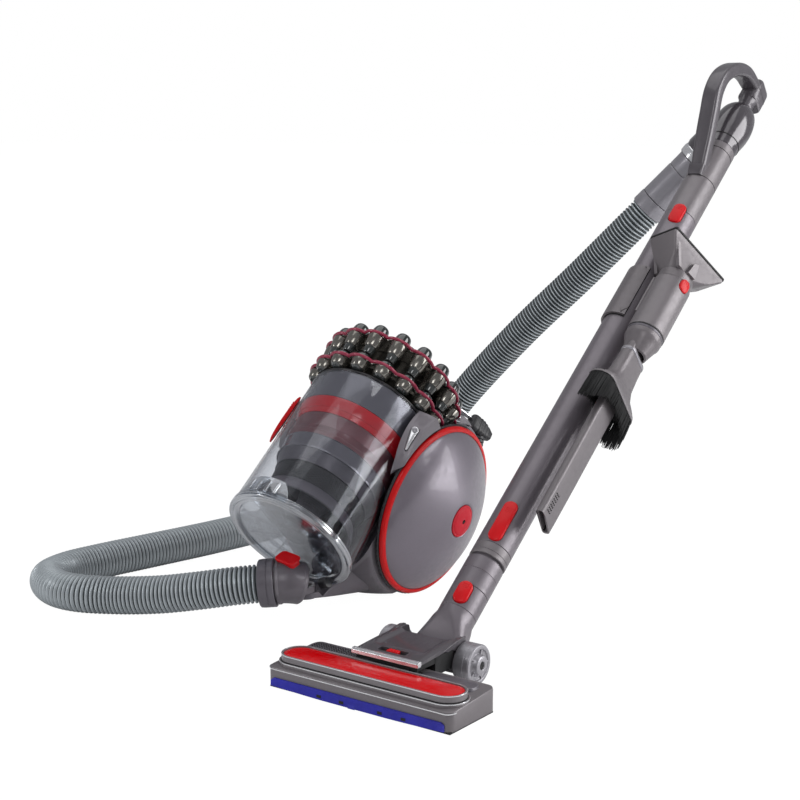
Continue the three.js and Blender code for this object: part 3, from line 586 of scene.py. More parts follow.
def chassis():
    ball = one(lathe(half_circle(BALL_RADIUS, 64, BALL_HEIGHT), 128))
    cuts = [one(box(BIG, BIG, 100, (0, 0, -42))), *bin_room()]
    cuts += [one(box(BIG, BIG, 200, (0, 0, 90)), WHEEL[side]) for side in BOTH]
    cuts.append(one(rod(38, -150, 150, 64), at(54, 0, 70) @ turn(90, "X")))
    cuts.append(one(rod(4.4, -70, 20, 24), aimed(CORD_MOUTH, CORD_OUT)))
    piece("chassis_ball", ball, "body_grey", "chassis", "chassis", bevel=1.2, cuts=cuts, sharp=30)
    cuts = [bin_room()[0], one(rod(7.3, 0, 60, 32), PIVOT)]
    piece("chassis_hull", one(tongue()), "body_grey", "chassis", bevel=1.0, cuts=cuts, sharp=30)
    boss = [(7.3, 20), (14, 20), (15, 21), (15, 27.7), (14.2, 28.5), (7.3, 28.5)]
    piece("pivot_boss", sleeve(boss, PIVOT, sides=48), "dark_grey", "chassis")
    for side in BOTH:
        stub = lathe([(0, -45), (12, -45), (12, 38.7), (11, 39.7), (0, 39.7)], 48)
        piece(f"wheel_stub_{SIDE_NAME[side]}", one(stub, WHEEL[side]), "dark_grey", "chassis", bevel=0.3)
        shoulder(side)
        place = button_frame(side)
        shape = one(crowned(lambda i: teardrop(-i), [(-3.5, 0), (0.2, 0), (0.9, 0.4), (1.3, 1)]), place)
        head = lathe([(0, 1), (3.4, 1), (3.4, 2), (2.6, 2.5), (0, 2.6)], 24)
        shape.add(head, place @ at(11.6, 0, 0), 1)
        node = "power_button" if side < 0 else "rewind_button"
        piece(f"{node}_cap", shape, "silver cuff_grey", node, node, sharp=45)


chassis()
CARRIED_OVER = {
    "motor": "black_plastic", "fan": "body_grey", "exhaust_filter": "filter_white",
    "cord_reel": "dark_grey", "sole_plate": "black_plastic",
}
for carried_node, carried_finish in CARRIED_OVER.items():
    recoat(carried_node, carried_finish)


# ---------------------------------------------------------------- plug and cord
def plug():
    place = aimed(PLUG_AT, PLUG_ALONG)
    steps = 30
    rings = []
    for i in range(steps + 1):
        t = i / steps
        swell = 0.42 + 0.58 * sin(min(1, t * 1.5) * pi / 2)
        swell *= 1 - 0.16 * max(0, (t - 0.85) / 0.15) ** 2
        ridge = 0.9 if 0.25 < t < 0.8 and i % 4 < 2 else 0
        rings.append(level(rounded(27 * swell - ridge, 21 * swell - ridge, 6.5 * swell), 37 * t - 20))
    shape = one(loft(rings), place)
    for hand in BOTH:
        shape.add(box(1.8, 6.5, 22, (hand * 6.4, 0, 27)), place, 1)
    boot = [(0, -3), (5, -3)]
    for i in range(7):
        radius, z = 5.2 + i * 0.65, i * 4.4
        boot += [(radius, z), (radius, z + 3.0), (4.4 + i * 0.6, z + 3.4)]
    shape.add(lathe(boot + [(8.4, 31), (0, 33)], 32), aimed(CORD_MOUTH, PLUG_AT - CORD_MOUTH))
    shape.add(eased_rod(3.6, -70, 3, 0.5, 24), aimed(CORD_MOUTH, CORD_OUT))
    piece("mains_plug_body", shape, "black_plastic silver", "plug", "mains_plug", bevel=0.25, sharp=35)


plug()


# ---------------------------------------------------------------- dust bin
def bin_wall():
    profile = [(80.2, 3.2), (82.4, 3.2), (82.7, 4), (84.0, 106.6), (84.7, 107.2), (84.7, 108.4), (84.1, 109)]
    profile += [(85.7, 198.6), (86.3, 199.4), (86.3, 202.2), (85.9, 203), (84, 203), (83.9, 199), (82.1, 108)]
    piece("bin_wall", sleeve(profile, BIN, sides=160), "bin_clear", "bin", "bin_cylinder", sharp=40)
    collar = [(79.6, 162.3), (82.8, 162.3), (83, 163), (83.4, 202.9), (85.6, 203.3), (86, 203.8), (86, 205.4)]
    collar += [(85.4, 206), (62.8, 206), (62.8, 203), (80, 203)]
    ring = sleeve(collar, BIN, lambda m: 1 if m.z > 203 else 0, 160)
    piece("bin_collar_ring", ring, "collar_grey black_plastic", "bin", "bin_collar", sharp=35)


def shroud_slot(m):
    if m.z > 108:
        return 0
    if m.z > 88:
        return 1
    return 3 if 46.5 < m.z <= 71.5 else 2


def separator():
    band = [(78.5, 162), (82, 162), (82, 158), (78.6, 148), (77.8, 147.5), (75.8, 141), (72, 141)]
    piece("separator_cone", sleeve(band, BIN, sides=120), "band_red", "bin", "separator_band", sharp=30)
    shroud = [(75, 140.7), (74.4, 124), (74.8, 123), (74.8, 121.5), (74.2, 120.5), (73.7, 108), (72.6, 107.4)]
    shroud += [(70.6, 91.5), (71.8, 90.8), (71.8, 88.6), (69.6, 88), (63.6, 72.6), (64.2, 71.6), (62.6, 70.6)]
    shroud += [(60.2, 47.4), (61.2, 46.4), (67, 31), (66.4, 30), (64, 30), (57, 47), (56, 72), (70, 140.7)]
    finishes = "dusty_rose collar_grey dark_grey mesh_black"
    piece("shroud_screen", sleeve(shroud, BIN, shroud_slot, 120), finishes, "bin", "shroud", sharp=30)
    core = [(0, 4), (17.4, 4), (18, 5)]
    for i in range(14):
        core += [(18.6, 6 + i * 3), (18.6, 7.6 + i * 3), (17.8, 8.2 + i * 3)]
    core += [(22, 60), (24, 110), (40, 132), (61.6, 150), (61.6, 206.4), (63.2, 208), (63.2, 228)]
    core += [(60.5, 229), (60.5, 236), (63.2, 237), (63.2, 268), (60.8, 269), (60.8, 274), (63.2, 275)]
    core += [(62.8, 282), (58, 287), (46, 291.5), (20, 293.6), (0, 294)]
    drum = one(lathe(core), BIN, lambda m: 1 if m.z < 128 else 0)
    piece("cyclone_drum", drum, "gunmetal dark_grey", "bin", "cyclone_core", sharp=30)


CONES, TIER_RADIUS = 17, 86
CONE_PITCH = FULL_TURN / CONES


def scallop(reach, z):
    """The band round the ring of cones, which lies furthest out at each cone."""
    out = []
    for angle in [FULL_TURN * i / (CONES * 20) for i in range(CONES * 20)]:
        off = abs((angle + CONE_PITCH / 2) % CONE_PITCH - CONE_PITCH / 2) / (CONE_PITCH / 2)
        radius = TIER_RADIUS + reach - 5.5 * off**2.4
        out.append((radius * cos(angle), radius * sin(angle), z))
    return out


def tier(name, height, drop, tip, top):
    """A ring of cones: drop is how far a spout hangs, tip its radius and top the height of a crown."""
    cup = min(drop - 2, 16)
    barrel = [(0, -cup), (tip + 2.2, -cup), (tip + 3.2, -cup + 1.2), (11.2, -0.3 * cup), (11.9, 0)]
    barrel += [(12.0, 3.2), (11.2, 4.6), (0, 4.6)]
    spout = [(0, -drop), (tip - 1, -drop), (tip, -drop + 1), (tip + 1.4, -cup), (0, -cup + 0.5)]
    crown = [(10.9, 6), (10.2, 0.55 * top + 2), (8.4, 0.8 * top + 1), (4.8, top - 0.8), (0, top)]
    crown = [(0, 4.4), (10.8, 4.4), *smooth_profile(crown, 4)]
    shape = sleeve([(64.3, 0.5), (82, 0.5), (82, 2.5), (64.3, 2.5)], BIN @ at(0, 0, height))
    shape.add(loft([scallop(8, height + 2.4), scallop(8, height + 3.4)]), BIN)
    for i in range(CONES):
        spot = BIN @ turn(360 * i / CONES, "Z") @ at(TIER_RADIUS, 0, height)
        shape.add(lathe(barrel, 32), spot)
        shape.add(lathe(spout, 24), spot, 1)
        shape.add(lathe(crown, 28), spot, 1)
    tube = ((10.6, 1.4), (12.6, 1.5), (13.7, 2.4), (13.9, 3.4), (13.6, 4.4), (12.6, 5.1), (10.6, 5.1))
    shape.add(loft([scallop(reach, height + z) for reach, z in tube], True), BIN, 2)
    piece(f"{name}_ring", shape, "gunmetal smoke crimson", "bin", name, sharp=42)


def carry_handle():
    arch = [(-34, 287), (-28, 302), (-8, 314), (12, 316), (34, 308), (46, 296), (50, 284)]
    bar = swept(spline([(x, 0, z) for x, z in arch]), lambda i: rounded(22, 9, 4, 4), (1, 0, 0.4))
    piece("carry_handle_bar", one(bar, BIN), "smoky_clear", "bin", "carry_handle", sharp=40)


def base():
    profile = [(0, -1.5), (66, -1.5), (70, -2), (72.6, -5.2), (74.4, -6), (77.4, -6), (78.6, -5.2)]
    profile += [(79.6, -4.2), (80.8, -4.4), (83.4, -5), (84.5, -4), (84.5, -1), (83.7, -0.4), (84.5, 0.2)]
    profile += [(84.5, 2.4), (84, 2.8), (76, 2.8), (72, 1.5), (0, 1.5)]
    shape = one(lathe(profile, 160), BIN, lambda m: 1 if m.xy.length > 71 else 0)
    for i in range(10):
        shape.add(box(50, 1.4, 5, (45, 0, 3.6)), BIN @ turn(36 * i + 12, "Z"), 1)
    for low, high in ((26, 28), (50, 51.6)):
        rib = [(low, 1.2), (high - 0.4, 1.2), (high, 1.6), (high, 6.6), (high - 0.4, 7), (low, 7)]
        shape.add(lathe(rib, 72, True), BIN)
    for angle in (-0.30, 0.30):
        hinge = BIN @ turn(degrees(angle), "Z") @ at(76, 0, -8) @ turn(90, "X")
        shape.add(eased_rod(7, -7, 7, 1.2), hinge, 2)
    finishes = "base_clear rim_clear black_plastic"
    piece("base_flap_disc", shape, finishes, "flap", "base_flap", bevel=0.3, sharp=35)


def wrapped(radius, z, arc, thickness):
    """A line that follows the bin's wall and comes back outside it at a thickness for each angle."""
    outer = [((radius + thick) * cos(a), (radius + thick) * sin(a), z) for a, thick in zip(arc, thickness)]
    return outer + [(radius * cos(a), radius * sin(a), z) for a in arc[::-1]]


def latch():
    """A clear thumb plate wrapped round the bin's foot, with four ribs under it."""
    radius, steps, half = 85.1, 22, 0.43
    rings = []
    for z, grow in ((-3, 0), (2, 1.0), (9, 1.2), (15, 0.9), (20, 0.3), (21, 0)):
        narrow = half * (1 - 0.35 * max(0, (z - 2) / 19) ** 1.6)
        shares = [2 * i / steps - 1 for i in range(steps + 1)]
        thickness = [1.0 + (2.6 + grow) * (1 - share * share) for share in shares]
        rings.append(wrapped(radius, z, [pi + share * narrow for share in shares], thickness))
    shape = one(loft(rings), BIN)
    for share in (-0.5, -0.16, 0.2, 0.52):
        spot = BIN @ turn(180 + degrees(share * half), "Z") @ at(87.4, 0, 1)
        shape.add(crowned(lambda i: rounded(5.4 - i, 5 - i, 1.4), [(-1, 0), (10, 0.3), (15, 1.4)]), spot, 1)
    piece("base_latch_plate", shape, "base_clear rim_clear", "latch", "base_latch", bevel=0.4, sharp=40)


def slider():
    """A red bar up the bin's side that swells in its middle."""
    radius, half, low, high = 86.6, 0.088, 98, 172
    place = BIN @ turn(-50, "Z")
    rings = []
    for i in range(17):
        share = i / 16
        z = low + (high - low) * share
        lift = 2.2 + 2.9 * sin(pi * share) ** 0.5 if 0 < i < 16 else 2.2
        pull = 1 - 0.5 * abs(2 * share - 1) ** 5
        rings.append(wrapped(radius, z, [pi + half * pull * (k / 4 - 1) for k in range(9)], [lift] * 9))
    shape = one(loft(rings), place)
    for i in range(4):
        shape.add(box(1.4, 10, 1.6, (-91.4, 0, 148 + 4 * i)), place)
    piece("release_slider_bar", shape, "catch_red", "release_slider", "release_slider", bevel=0.7, sharp=40)


bin_wall()
separator()
tier("cyclone_tier_lower", 218, 11.4, 6.6, 13)
tier("cyclone_tier_upper", 260, 26, 6.2, 21)
carry_handle()
base()
latch()
slider()


# ---------------------------------------------------------------- nose and hose
def along_nose(distance):
    return MOUTH + distance * MOUTH_OUT


def along_cuff(distance):
    return ELBOW_AT + distance * CUFF_DOWN


def nose():
    line = spline([(-186, -22, 47), (-192, -17, 49), along_nose(-14), along_nose(-4.2)])
    shape = one(swept(line, lambda i: round_outline(26 - 3.5 * max(0, 1 - i / 5) ** 2, 48)))
    lip = [(21, -9), (26.2, -9), (26.9, -8), (26.9, -5), (26.2, -4.2), (21, -4.2)]
    shape.add(lathe(lip, 72, True), NOSE)
    shape.add(flat(rounded(44, 20, 7), 29.1, 37.1), at(-176, -6, 0))
    ring = [(0, 29.1), (11.4, 29.1), (12.4, 30), (12.4, 36.3), (11.6, 37.1), (0, 37.1)]
    shape.add(lathe(ring, 48), PIVOT)
    shape.add(eased_rod(7, 19, 32.5, 0.6), PIVOT)
    piece("nose_duct_body", shape, "body_grey", "nose", "nose_duct", bevel=0.5, sharp=40)
    heights = [(-3.5, 0), (2.4, 0), (2.8, -1.4), (5.2, -1.6), (6, -0.4)]
    wedge = one(crowned_block(17, 26, 4.5, heights), CATCH)
    piece("hose_catch_wedge", wedge, "catch_red", "hose_catch", "hose_catch", bevel=0.5, sharp=35)
    cuff = [(24.4, -2.7), (28.7, -2.7), (29.5, -1.8), (29.5, 4.6), (29.0, 5.0), (29.0, 5.6), (29.5, 6.0)]
    cuff += [(29.4, 12), (28.9, 16), (27.6, 17), (24.4, 17)]
    piece("hose_cuff_lower_ring", sleeve(cuff, NOSE), "dark_grey", "nose", "hose_cuff_lower", sharp=30)


HOSE_LINE = [
    along_nose(-2), along_nose(14), (-240, 41, 46), (-262, 82, 38), (-282, 127, 30), (-303, 177, 25),
    (-324, 226, 24), (-325, 266, 24), (-303, 305, 24), (-262, 318, 24), (-208, 313, 24), (-131, 298, 24),
    (-33, 279, 24), (70, 265, 24), (170, 257, 24), (262, 250, 28), (330, 232, 54), (372, 193, 108),
    (394, 138, 186), (407, 42, 289), (420, -48, 376), along_cuff(196), along_cuff(168), along_cuff(141.5),
]
HOSE_PITCH, HOSE_SIDES = 5.4, 40
RIDGE, RIDGE_FACES = (20.6, 20.9, 23.1, 23.5, 23.3, 21.4), (1, 2, 3)


def hose():
    steps = len(RIDGE)
    line = spaced(spline(HOSE_LINE, 24), HOSE_PITCH / steps)
    shape = one(swept(line, lambda i: round_outline(RIDGE[i % steps], HOSE_SIDES)))
    # the groove bottom and one flank of each fold are dark: painted shade in the folds
    shape.slots = [int(i // HOSE_SIDES % steps not in RIDGE_FACES) for i in range(len(shape.faces))]
    piece("hose_bellows", shape, "hose_ridge hose_groove", "nose", "hose", sharp=60)
    cuff = [(20.5, 98.2), (24.2, 98.2), (24.9, 99), (25, 104), (25, 148.6), (24.5, 149.2), (24.5, 150)]
    cuff += [(25.3, 150.6), (25.6, 152), (25.6, 168.4), (24.8, 169.6), (24.2, 170), (24.2, 140.6)]
    cuff.append((20.5, 140.6))
    shape = sleeve(cuff, CUFF, lambda m: 1 if 149 < m.z < 150.2 and m.xy.length > 24 else 0)
    piece("hose_cuff_upper_sleeve", shape, "cuff_grey seam_black", "nose", "hose_cuff_upper", sharp=30)


nose()
hose()


# ---------------------------------------------------------------- elbow and handle
def elbow_slot(m):
    if 61.8 < m.z < 75:
        return 2
    return 3 if m.z > 75 else 0


def elbow():
    knuckle = [(22.2, 892), (22.8, 902), (24.8, 914), (27.2, 928), (28.0, 942), (26.8, 956), (23.4, 969)]
    knuckle = smooth_profile(knuckle + [(16, 979.6), (7, 984), (0, 984.6)], 6)
    shape = one(lathe([(0, 891.3), (21.6, 891.3)] + knuckle), WAND)
    shape.add(lathe([(22.3, 905.5), (24, 906), (24, 907), (22.3, 907.5)], ring=True), WAND, 1)
    port = [(0, 0), (24, 0), (27, 20), (28.6, 40), (28.6, 56), (27.4, 60), (27.0, 61.4), (27.8, 62.4)]
    port += [(28.2, 66), (27.4, 74), (25.2, 76), (24.9, 78), (24.7, 96.8), (24.0, 97.8), (0, 97.8)]
    shape.add(lathe(port), CUFF, elbow_slot)
    piece("elbow_knuckle", shape, "elbow_grey seam_black silver cuff_grey", "elbow", "elbow", sharp=32)


CATCH_TURN = 17.5


def pill_frame(base, station, spin):
    """Local x runs along the tube, y round it, and z out of its side."""
    return base @ at(0, 0, station) @ turn(spin, "Z") @ turn(-90, "Y")


def wand_pill(station):
    return pill_frame(WAND, station, CATCH_TURN)


def pill_cut(length, breadth, place, low, high):
    return one(flat(rounded(length, breadth, breadth / 2 - 0.1, 8), low, high), place)


def press_catch(name, length, breadth, place, low, high):
    """A glossy pill with a soft crown and three thumb lines."""
    heights = [(low, 0.0), (high - 1.4, 0.0), (high - 0.6, 0.35), (high, 1.5)]
    shape = one(crowned_block(length, breadth, breadth / 2 - 0.1, heights, 8), place)
    heights = [(high - 0.4, 0), (high + 0.25, 0.5)]
    line = crowned(lambda k: rounded(1.4 - k, breadth * 0.5 - k, 0.5 - k / 2, 3), heights)
    for i in (-1, 0, 1):
        shape.add(line, place @ at(length * 0.28 + 2.4 * i, 0, 0))
    piece(f"{name}_pill", shape, "catch_red", name, name, sharp=45)


upper_notch = pill_cut(35.4, 18.4, wand_pill(740), 17, 30)
lower_notch = pill_cut(30.4, 18.4, wand_pill(105.5), 16.8, 30)


def handle_tube():
    tube = [(20.4, 748.3), (22.3, 748.3), (22.7, 748.8), (22.7, 817.4), (22.2, 817.7), (22.2, 818.3)]
    tube += [(22.7, 818.6), (22.7, 877.4), (22.2, 877.7), (22.2, 878.3), (22.7, 878.6), (22.7, 890.4)]
    tube += [(22.2, 891), (20.4, 891)]

    def slot(m):
        return 1 if min(abs(m.z - 818), abs(m.z - 878)) < 0.5 and m.xy.length > 21.5 else 0

    piece("handle_tube_sleeve", sleeve(tube, WAND, slot), "tool_grey seam_black", "handle", "handle_tube",
          cuts=[upper_notch], sharp=30)


def strap():
    line = [(-17, 830), (-38, 862), (-61, 898), (-77, 925), (-80, 953), (-66, 987), (-40, 1014), (-8, 1026)]
    line = spline([(x, 0, z) for x, z in line])

    def ring(i):
        t = i / (len(line) - 1)
        wide = 26 - 3.5 * max(0, 1 - t / 0.2) + 1.5 * sin(pi * t)
        deep = 19 - 2.5 * sin(pi * min(1, t * 1.3)) - 2.5 * max(0, (t - 0.75) / 0.25)
        return [(u * (1 - 0.10 * (v < 0)), v) for u, v in rounded(wide, deep, 5.5, 5)]

    shape = one(swept(line, ring), WAND)
    foot = spline([(-20.5, 0, 818.5), (-22.6, 0, 824), (-25, 0, 832)], 4)
    shape.add(swept(foot, lambda i: rounded(20 + i * 0.3, 8 + i * 0.5, 2.5, 4), (-1, 0, 0.2)), WAND)
    piece("grip_strap", shape, "grip_grey", "handle", "grip", sharp=50)


def handle_end():
    place = WAND @ at(7, 0, 0)
    heights = [(1003, 1.5), (1005.5, 0), (1026, 0), (1036, 0.6), (1040, 2), (1041, 3.6)]
    shape = one(crowned_block(36, 28, 9, heights, 8), place)
    seam_heights = [(1021.2, 0.5), (1021.2, 0), (1022, 0), (1022, 0.5)]
    shape.add(crowned_block(36.4, 28.4, 9, seam_heights, 8), place, 1)
    stem = smooth_profile([(9, 984.8), (11, 988), (11.4, 996), (13, 1004), (15, 1009)], 5) + [(0, 1009)]
    shape.add(lathe(stem, 48), WAND @ at(2, 0, 0))
    piece("handle_end_block", shape, "grip_grey seam_black", "handle", "handle_end", bevel=0.3, sharp=45)
    lens = crowned_block(16, 12, 3.6, [(1038.5, 0), (1042.6, 0), (1043.5, 0.5), (1044, 1.6)])
    button = one(lens, WAND @ at(9, 0, 0))
    piece("suction_button_cap", button, "tool_grey", "suction_button", "suction_button", sharp=45)


elbow()
handle_tube()
strap()
handle_end()


# ---------------------------------------------------------------- wand
def wand():
    outer = [(20.7, 178.8), (22.2, 178.8), (22.7, 179.4), (22.7, 747.4), (22.2, 748), (19.9, 748)]
    outer += [(19.9, 775), (19.4, 776), (18, 776), (18, 744), (20.7, 740)]
    piece("wand_outer_tube", sleeve(outer, WAND), "wand_grey", "wand", "wand_tube", sharp=30,
          cuts=[upper_notch, pill_cut(58.2, 18.2, wand_pill(209), 20, 30)])
    ring = [(19.6, 162.5), (22.2, 162.5), (22.7, 163.1), (22.7, 168), (22.3, 168.4), (22.7, 168.8)]
    ring += [(22.7, 177.9), (22.2, 178.5), (19.6, 178.5)]
    piece("wand_collar_ring", sleeve(ring, WAND), "tool_grey", "wand", "wand_collar", sharp=30)
    press_catch("telescope_catch", 57, 17, wand_pill(209), 21.2, 25)
    press_catch("wand_catch", 34, 17, wand_pill(740), 19.3, 25)
    press_catch("head_catch", 29, 17, wand_pill(105.5), 18.4, 25)
    inner = [(18.6, 118.3), (21.9, 118.3), (22.4, 118.9), (22.4, 140.6), (22.0, 141), (22.4, 141.4)]
    inner += [(22.4, 157.9), (21.9, 158.5), (19.2, 158.5), (19.2, 520), (17.4, 520), (17.4, 130)]
    inner += [(16.6, 122), (16.6, 92), (18.6, 92)]
    piece("wand_inner_tube_sleeve", sleeve(inner, WAND), "wand_grey", "inner_tube", "wand_inner_tube",
          cuts=[lower_notch], sharp=30)


wand()


# ---------------------------------------------------------------- tool clip and tools
def arc_points(radius, start, end, steps=28, middle=(0, 0)):
    angles = [radians(start + (end - start) * i / steps) for i in range(steps + 1)]
    return [(middle[0] + radius * cos(a), middle[1] + radius * sin(a)) for a in angles]


def saddle(inner, outer, start, end, low, high, chamfer=0):
    """A curved plate round the wand whose ends slope towards its middle."""
    rows = []
    for t in [i / 20 for i in range(21)]:
        z = low + (high - low) * t
        squeeze = chamfer * max(0, 1 - min(z - low, high - z) / 10)
        near, far = start + squeeze, end - squeeze
        rows.append(level(arc_points(inner, near, far) + arc_points(outer, far, near), z))
    return loft(rows)


def clip():
    shape = one(saddle(22.9, 26.5, -70, 210, 549, 635), WAND)
    shape.add(saddle(22.75, 23.6, -72, 212, 547.6, 636.4), WAND, 1)
    shape.add(saddle(23, 27.2, 186, 210.5, 551, 633, 14), WAND)
    middle = (TOOL_X, TOOL_Y)
    cradle = arc_points(24.9, 10, 110, 20, middle) + arc_points(27.5, 110, 10, 20, middle)
    shape.add(flat(cradle, 560, 620), WAND)
    shape.add(flat([(12.5, -40), (16.5, -38), (13, -20), (5, -22.5)], 560, 620), WAND)
    piece("tool_clip_saddle", shape, "tool_grey seam_black", "wand", "tool_clip", bevel=0.5, sharp=35)


def adapter():
    profile = [(20, 0), (23.8, 0), (24.5, 0.8), (24.5, 85), (23.8, 86), (23.2, 87), (23, 88), (23, 99.4)]
    profile += [(22.4, 100), (20, 100)]
    place = pill_frame(TOOLS, 80.5, 69)
    shape = sleeve(profile, TOOLS)
    shape.add(lathe([(22.2, -1.6), (24.1, -1.6), (24.1, 0.2), (22.2, 0.2)], ring=True), TOOLS, 1)
    piece("tool_adapter_sleeve", shape, "tool_grey seam_black", "adapter", "tool_adapter", sharp=30,
          cuts=[pill_cut(20.4, 16.4, place, 15, 40)])
    press_catch("adapter_catch", 19, 15, place, 21.4, 26)


def stair_tool():
    place = TOOLS @ turn(-24.6, "Z")
    neck, wide, deep = 19, 48.5, 23.5

    def ring(z, shrink=0.0):
        t = min(1, max(0, (z - 98) / 36))
        half_x, half_y = neck + (wide - neck) * t - shrink, neck + (deep - neck) * t**1.4 - shrink
        corner = min(half_x, half_y) * (0.97 - 0.86 * min(1, t * 2.2))
        return level(rounded(2 * half_x, 2 * half_y, corner), z)

    levels = [98, 100, 103, 107, 112, 118, 124, 130, 134, 139.4]
    outside = [ring(z) for z in levels] + [ring(140, 0.6)]
    inside = [ring(140, 2.0)] + [ring(z, 2.6) for z in levels[::-1]]
    shape = one(loft(outside + inside, True), place)
    shape.add(lathe([(15, 84), (19, 84), (19.6, 84.6), (19.6, 99), (15, 99)], 72, True), place)
    rim = ((137.6, -0.15), (137.6, -0.9), (140.3, -0.9), (140.6, 0.3), (140.6, 1.6), (139, 2.2))
    shape.add(loft([ring(z, shrink) for z, shrink in rim], True), place, 1)
    # a black sheet lining the funnel's inside: painted shade in its hollow
    lining = [ring(z, 2.7) for z in levels[::-1]] + [ring(z, 3.0) for z in levels]
    shape.add(loft(lining, True), place, 1)
    gusset = ((-4, 100), (9, 100), (5, 122), (-2, 118))
    fin = ((-19, 100), (-14, 100), (-36, 134), (-42, 134))
    for hand in BOTH:
        for outline, near, far in ((gusset, 17, 26), (fin, 17, 22.4)):
            shape.add(loft([[(x, hand * y, z) for x, z in outline] for y in (near, far)]), place)
    piece("stair_tool_funnel", shape, "tool_grey seam_black", "stair_tool", "stair_tool", bevel=0.6, sharp=35)


BLADE_BREADTH, BLADE_DEPTH, BLADE_FOOT = 36, 11, -306


def blade_outline(inset=0.0):
    return rounded(BLADE_BREADTH - 2 * inset, BLADE_DEPTH - 2 * inset, 4.2 - inset, 5)


def blade_foot(squeeze_x=1, squeeze_y=1):
    """The slanted end of the blade."""
    return [(x * squeeze_x, y * squeeze_y, BLADE_FOOT + 9 * (0.5 - x / BLADE_BREADTH) ** 1.5)
            for x, y in blade_outline(0.6)]


def crevice_tool():
    socket = [(12, -24), (13, -36), (15.5, -35), (20, -20), (22.2, -14), (23.2, -12), (23.5, -10), (23.5, -5)]
    socket += [(23.9, -4.6), (23.9, -1.2), (23.5, -0.6), (19.6, -0.4), (19.6, 43.4), (19.2, 44), (16, 44)]
    shape = sleeve(socket + [(16, -10)], TOOLS, lambda m: 2 if -5 < m.z < -1.2 and m.xy.length > 23 else 0)
    levels = ((-16, 0), (-24, 0), (-60, 0), (-150, 0), (-240, 0), (-290, 0.3), (-300, 0.5))
    rings = [level(blade_outline(inset), z) for z, inset in levels]
    hollow = blade_foot(0.86, 0.62)
    rings += [blade_foot(), hollow, [(x, y, -280) for x, y, _ in hollow]]
    # the walls of the hollow in the blade's foot are black: painted shade inside the opening
    shape.add(loft(rings), TOOLS, lambda m: 1 if m.z < -281 and abs(m.y) < 3.0 and abs(m.x) < 14.5 else 0)
    dot = eased_rod(0.9, 0, 0.9, 0.3, 10)
    for k in range(7):
        for j in (-1, 0, 1):
            spot = at(3.0 * j - 7, 0.2 - BLADE_DEPTH / 2, 4.2 * k - 292)
            shape.add(dot, TOOLS @ spot @ turn(90, "X"), 1)
    shape.add(crowned(lambda i: blade_outline(i - 0.35), [(-60, 0), (-58.6, 0)]), TOOLS)
    piece("crevice_tool_blade", shape, "tool_grey seam_black dark_grey", "crevice_tool", "crevice_tool",
          bevel=0.3, sharp=40)


TUFTS_IN_ROW, HAIRS_IN_TUFT, HAIR_RADII = 118, 3, (0.75, 0.65, 0.3)


def brush():
    random.seed(7)
    levels = [(-38, 22, 9), (-44, 22.4, 9.2), (-60, 23, 9.6), (-80, 25, 10.5), (-92, 31, 12.5)]
    levels += [(-99, 42, 15.5), (-104, 48.6, 17), (-108, 50, 17)]
    rings = [level(rounded(2 * w, 2 * d, d * 0.9, 8), z) for z, w, d in levels]
    for z, w, d in ((-108, 50, 17), (-104, 46, 15)):
        rings.append(level(rounded(2 * w - 3, 2 * d - 3, d * 0.9 - 1.5, 8), z))
    shape = one(loft(rings), TOOLS)
    shape.add(flat(rounded(97.5, 31.5, 15, 8), -109.5, -107.2), TOOLS, 1)
    shape.add(crowned_block(45.6, 20, 8.6, [(-44, 0.6), (-43.4, 0), (-40, 0), (-39.4, 0.6)]), TOOLS, 2)
    for inset in (2.2, 5.0):
        edge = rounded(100 - 2 * inset, 34 - 2 * inset, 15.5 - inset, 14)
        loop = [Vector((x, y, 0)) for x, y in edge + edge[:1]]
        gap = sum((b - a).length for a, b in zip(loop, loop[1:])) / TUFTS_IN_ROW
        for p in spaced(loop, gap)[:-1]:
            reach = 20 + 21 * min(1.0, abs(p.x) / 46) ** 2.2
            for _ in range(HAIRS_IN_TUFT):
                lean_x = p.x * 0.04 + random.uniform(-1.6, 1.6)
                lean = Vector((lean_x, p.y * 0.06 + random.uniform(-1.2, 1.2), 0))
                top = p + Vector((random.uniform(-0.8, 0.8), random.uniform(-0.8, 0.8), -104))
                tip = top + lean + Vector((0, 0, -reach - random.uniform(0, 3.0)))
                line = [top, top.lerp(tip, 0.5) + lean * 0.15, tip]
                shape.add(swept(line, lambda s: round_outline(HAIR_RADII[s], 4), (1, 0, 0)), TOOLS, 1)
    finishes = "tool_grey bristle cuff_grey"
    piece("dusting_brush_head", shape, finishes, "dusting_brush", "dusting_brush", sharp=45)


clip()
adapter()
stair_tool()
crevice_tool()
brush()


# ---------------------------------------------------------------- neck and yoke
def neck():
    """A collar, and a flare that runs down into a barrel on the axle."""
    collar = [(18.9, 88.3), (22, 88.3), (22.4, 88.8), (22.4, 117.4), (22, 118), (18.9, 118)]
    piece("neck_collar_ring", sleeve(collar, WAND), "wand_grey", "neck", "neck_collar", sharp=30,
          cuts=[lower_notch])
    levels = [(36, 33.5, 12), (42, 33.4, 12.4), (48, 32, 13.2), (56, 29, 15.4), (64, 25.8, 18)]
    levels += [(72, 23.4, 20.4), (80, 22.2, 22), (88, 22.2, 22.2)]
    rings = []
    for z, half_y, half_x in levels:
        corner = min(half_x, half_y) * (0.99 if z > 78 else 0.8)
        rings.append(level(rounded(2 * half_x, 2 * half_y, corner, 8), z))
    shape = one(loft(rings), WAND)
    barrel = [(4.3, -33.5), (14.2, -33.5), (15, -32.7), (15, 32.7), (14.2, 33.5), (4.3, 33.5)]
    shape.add(lathe(barrel, 72, True), AXLE @ turn(90, "X"))
    piece("neck_fork_flare", shape, "wand_grey", "fork", "neck_fork", sharp=50)


SLIDER_X = -72


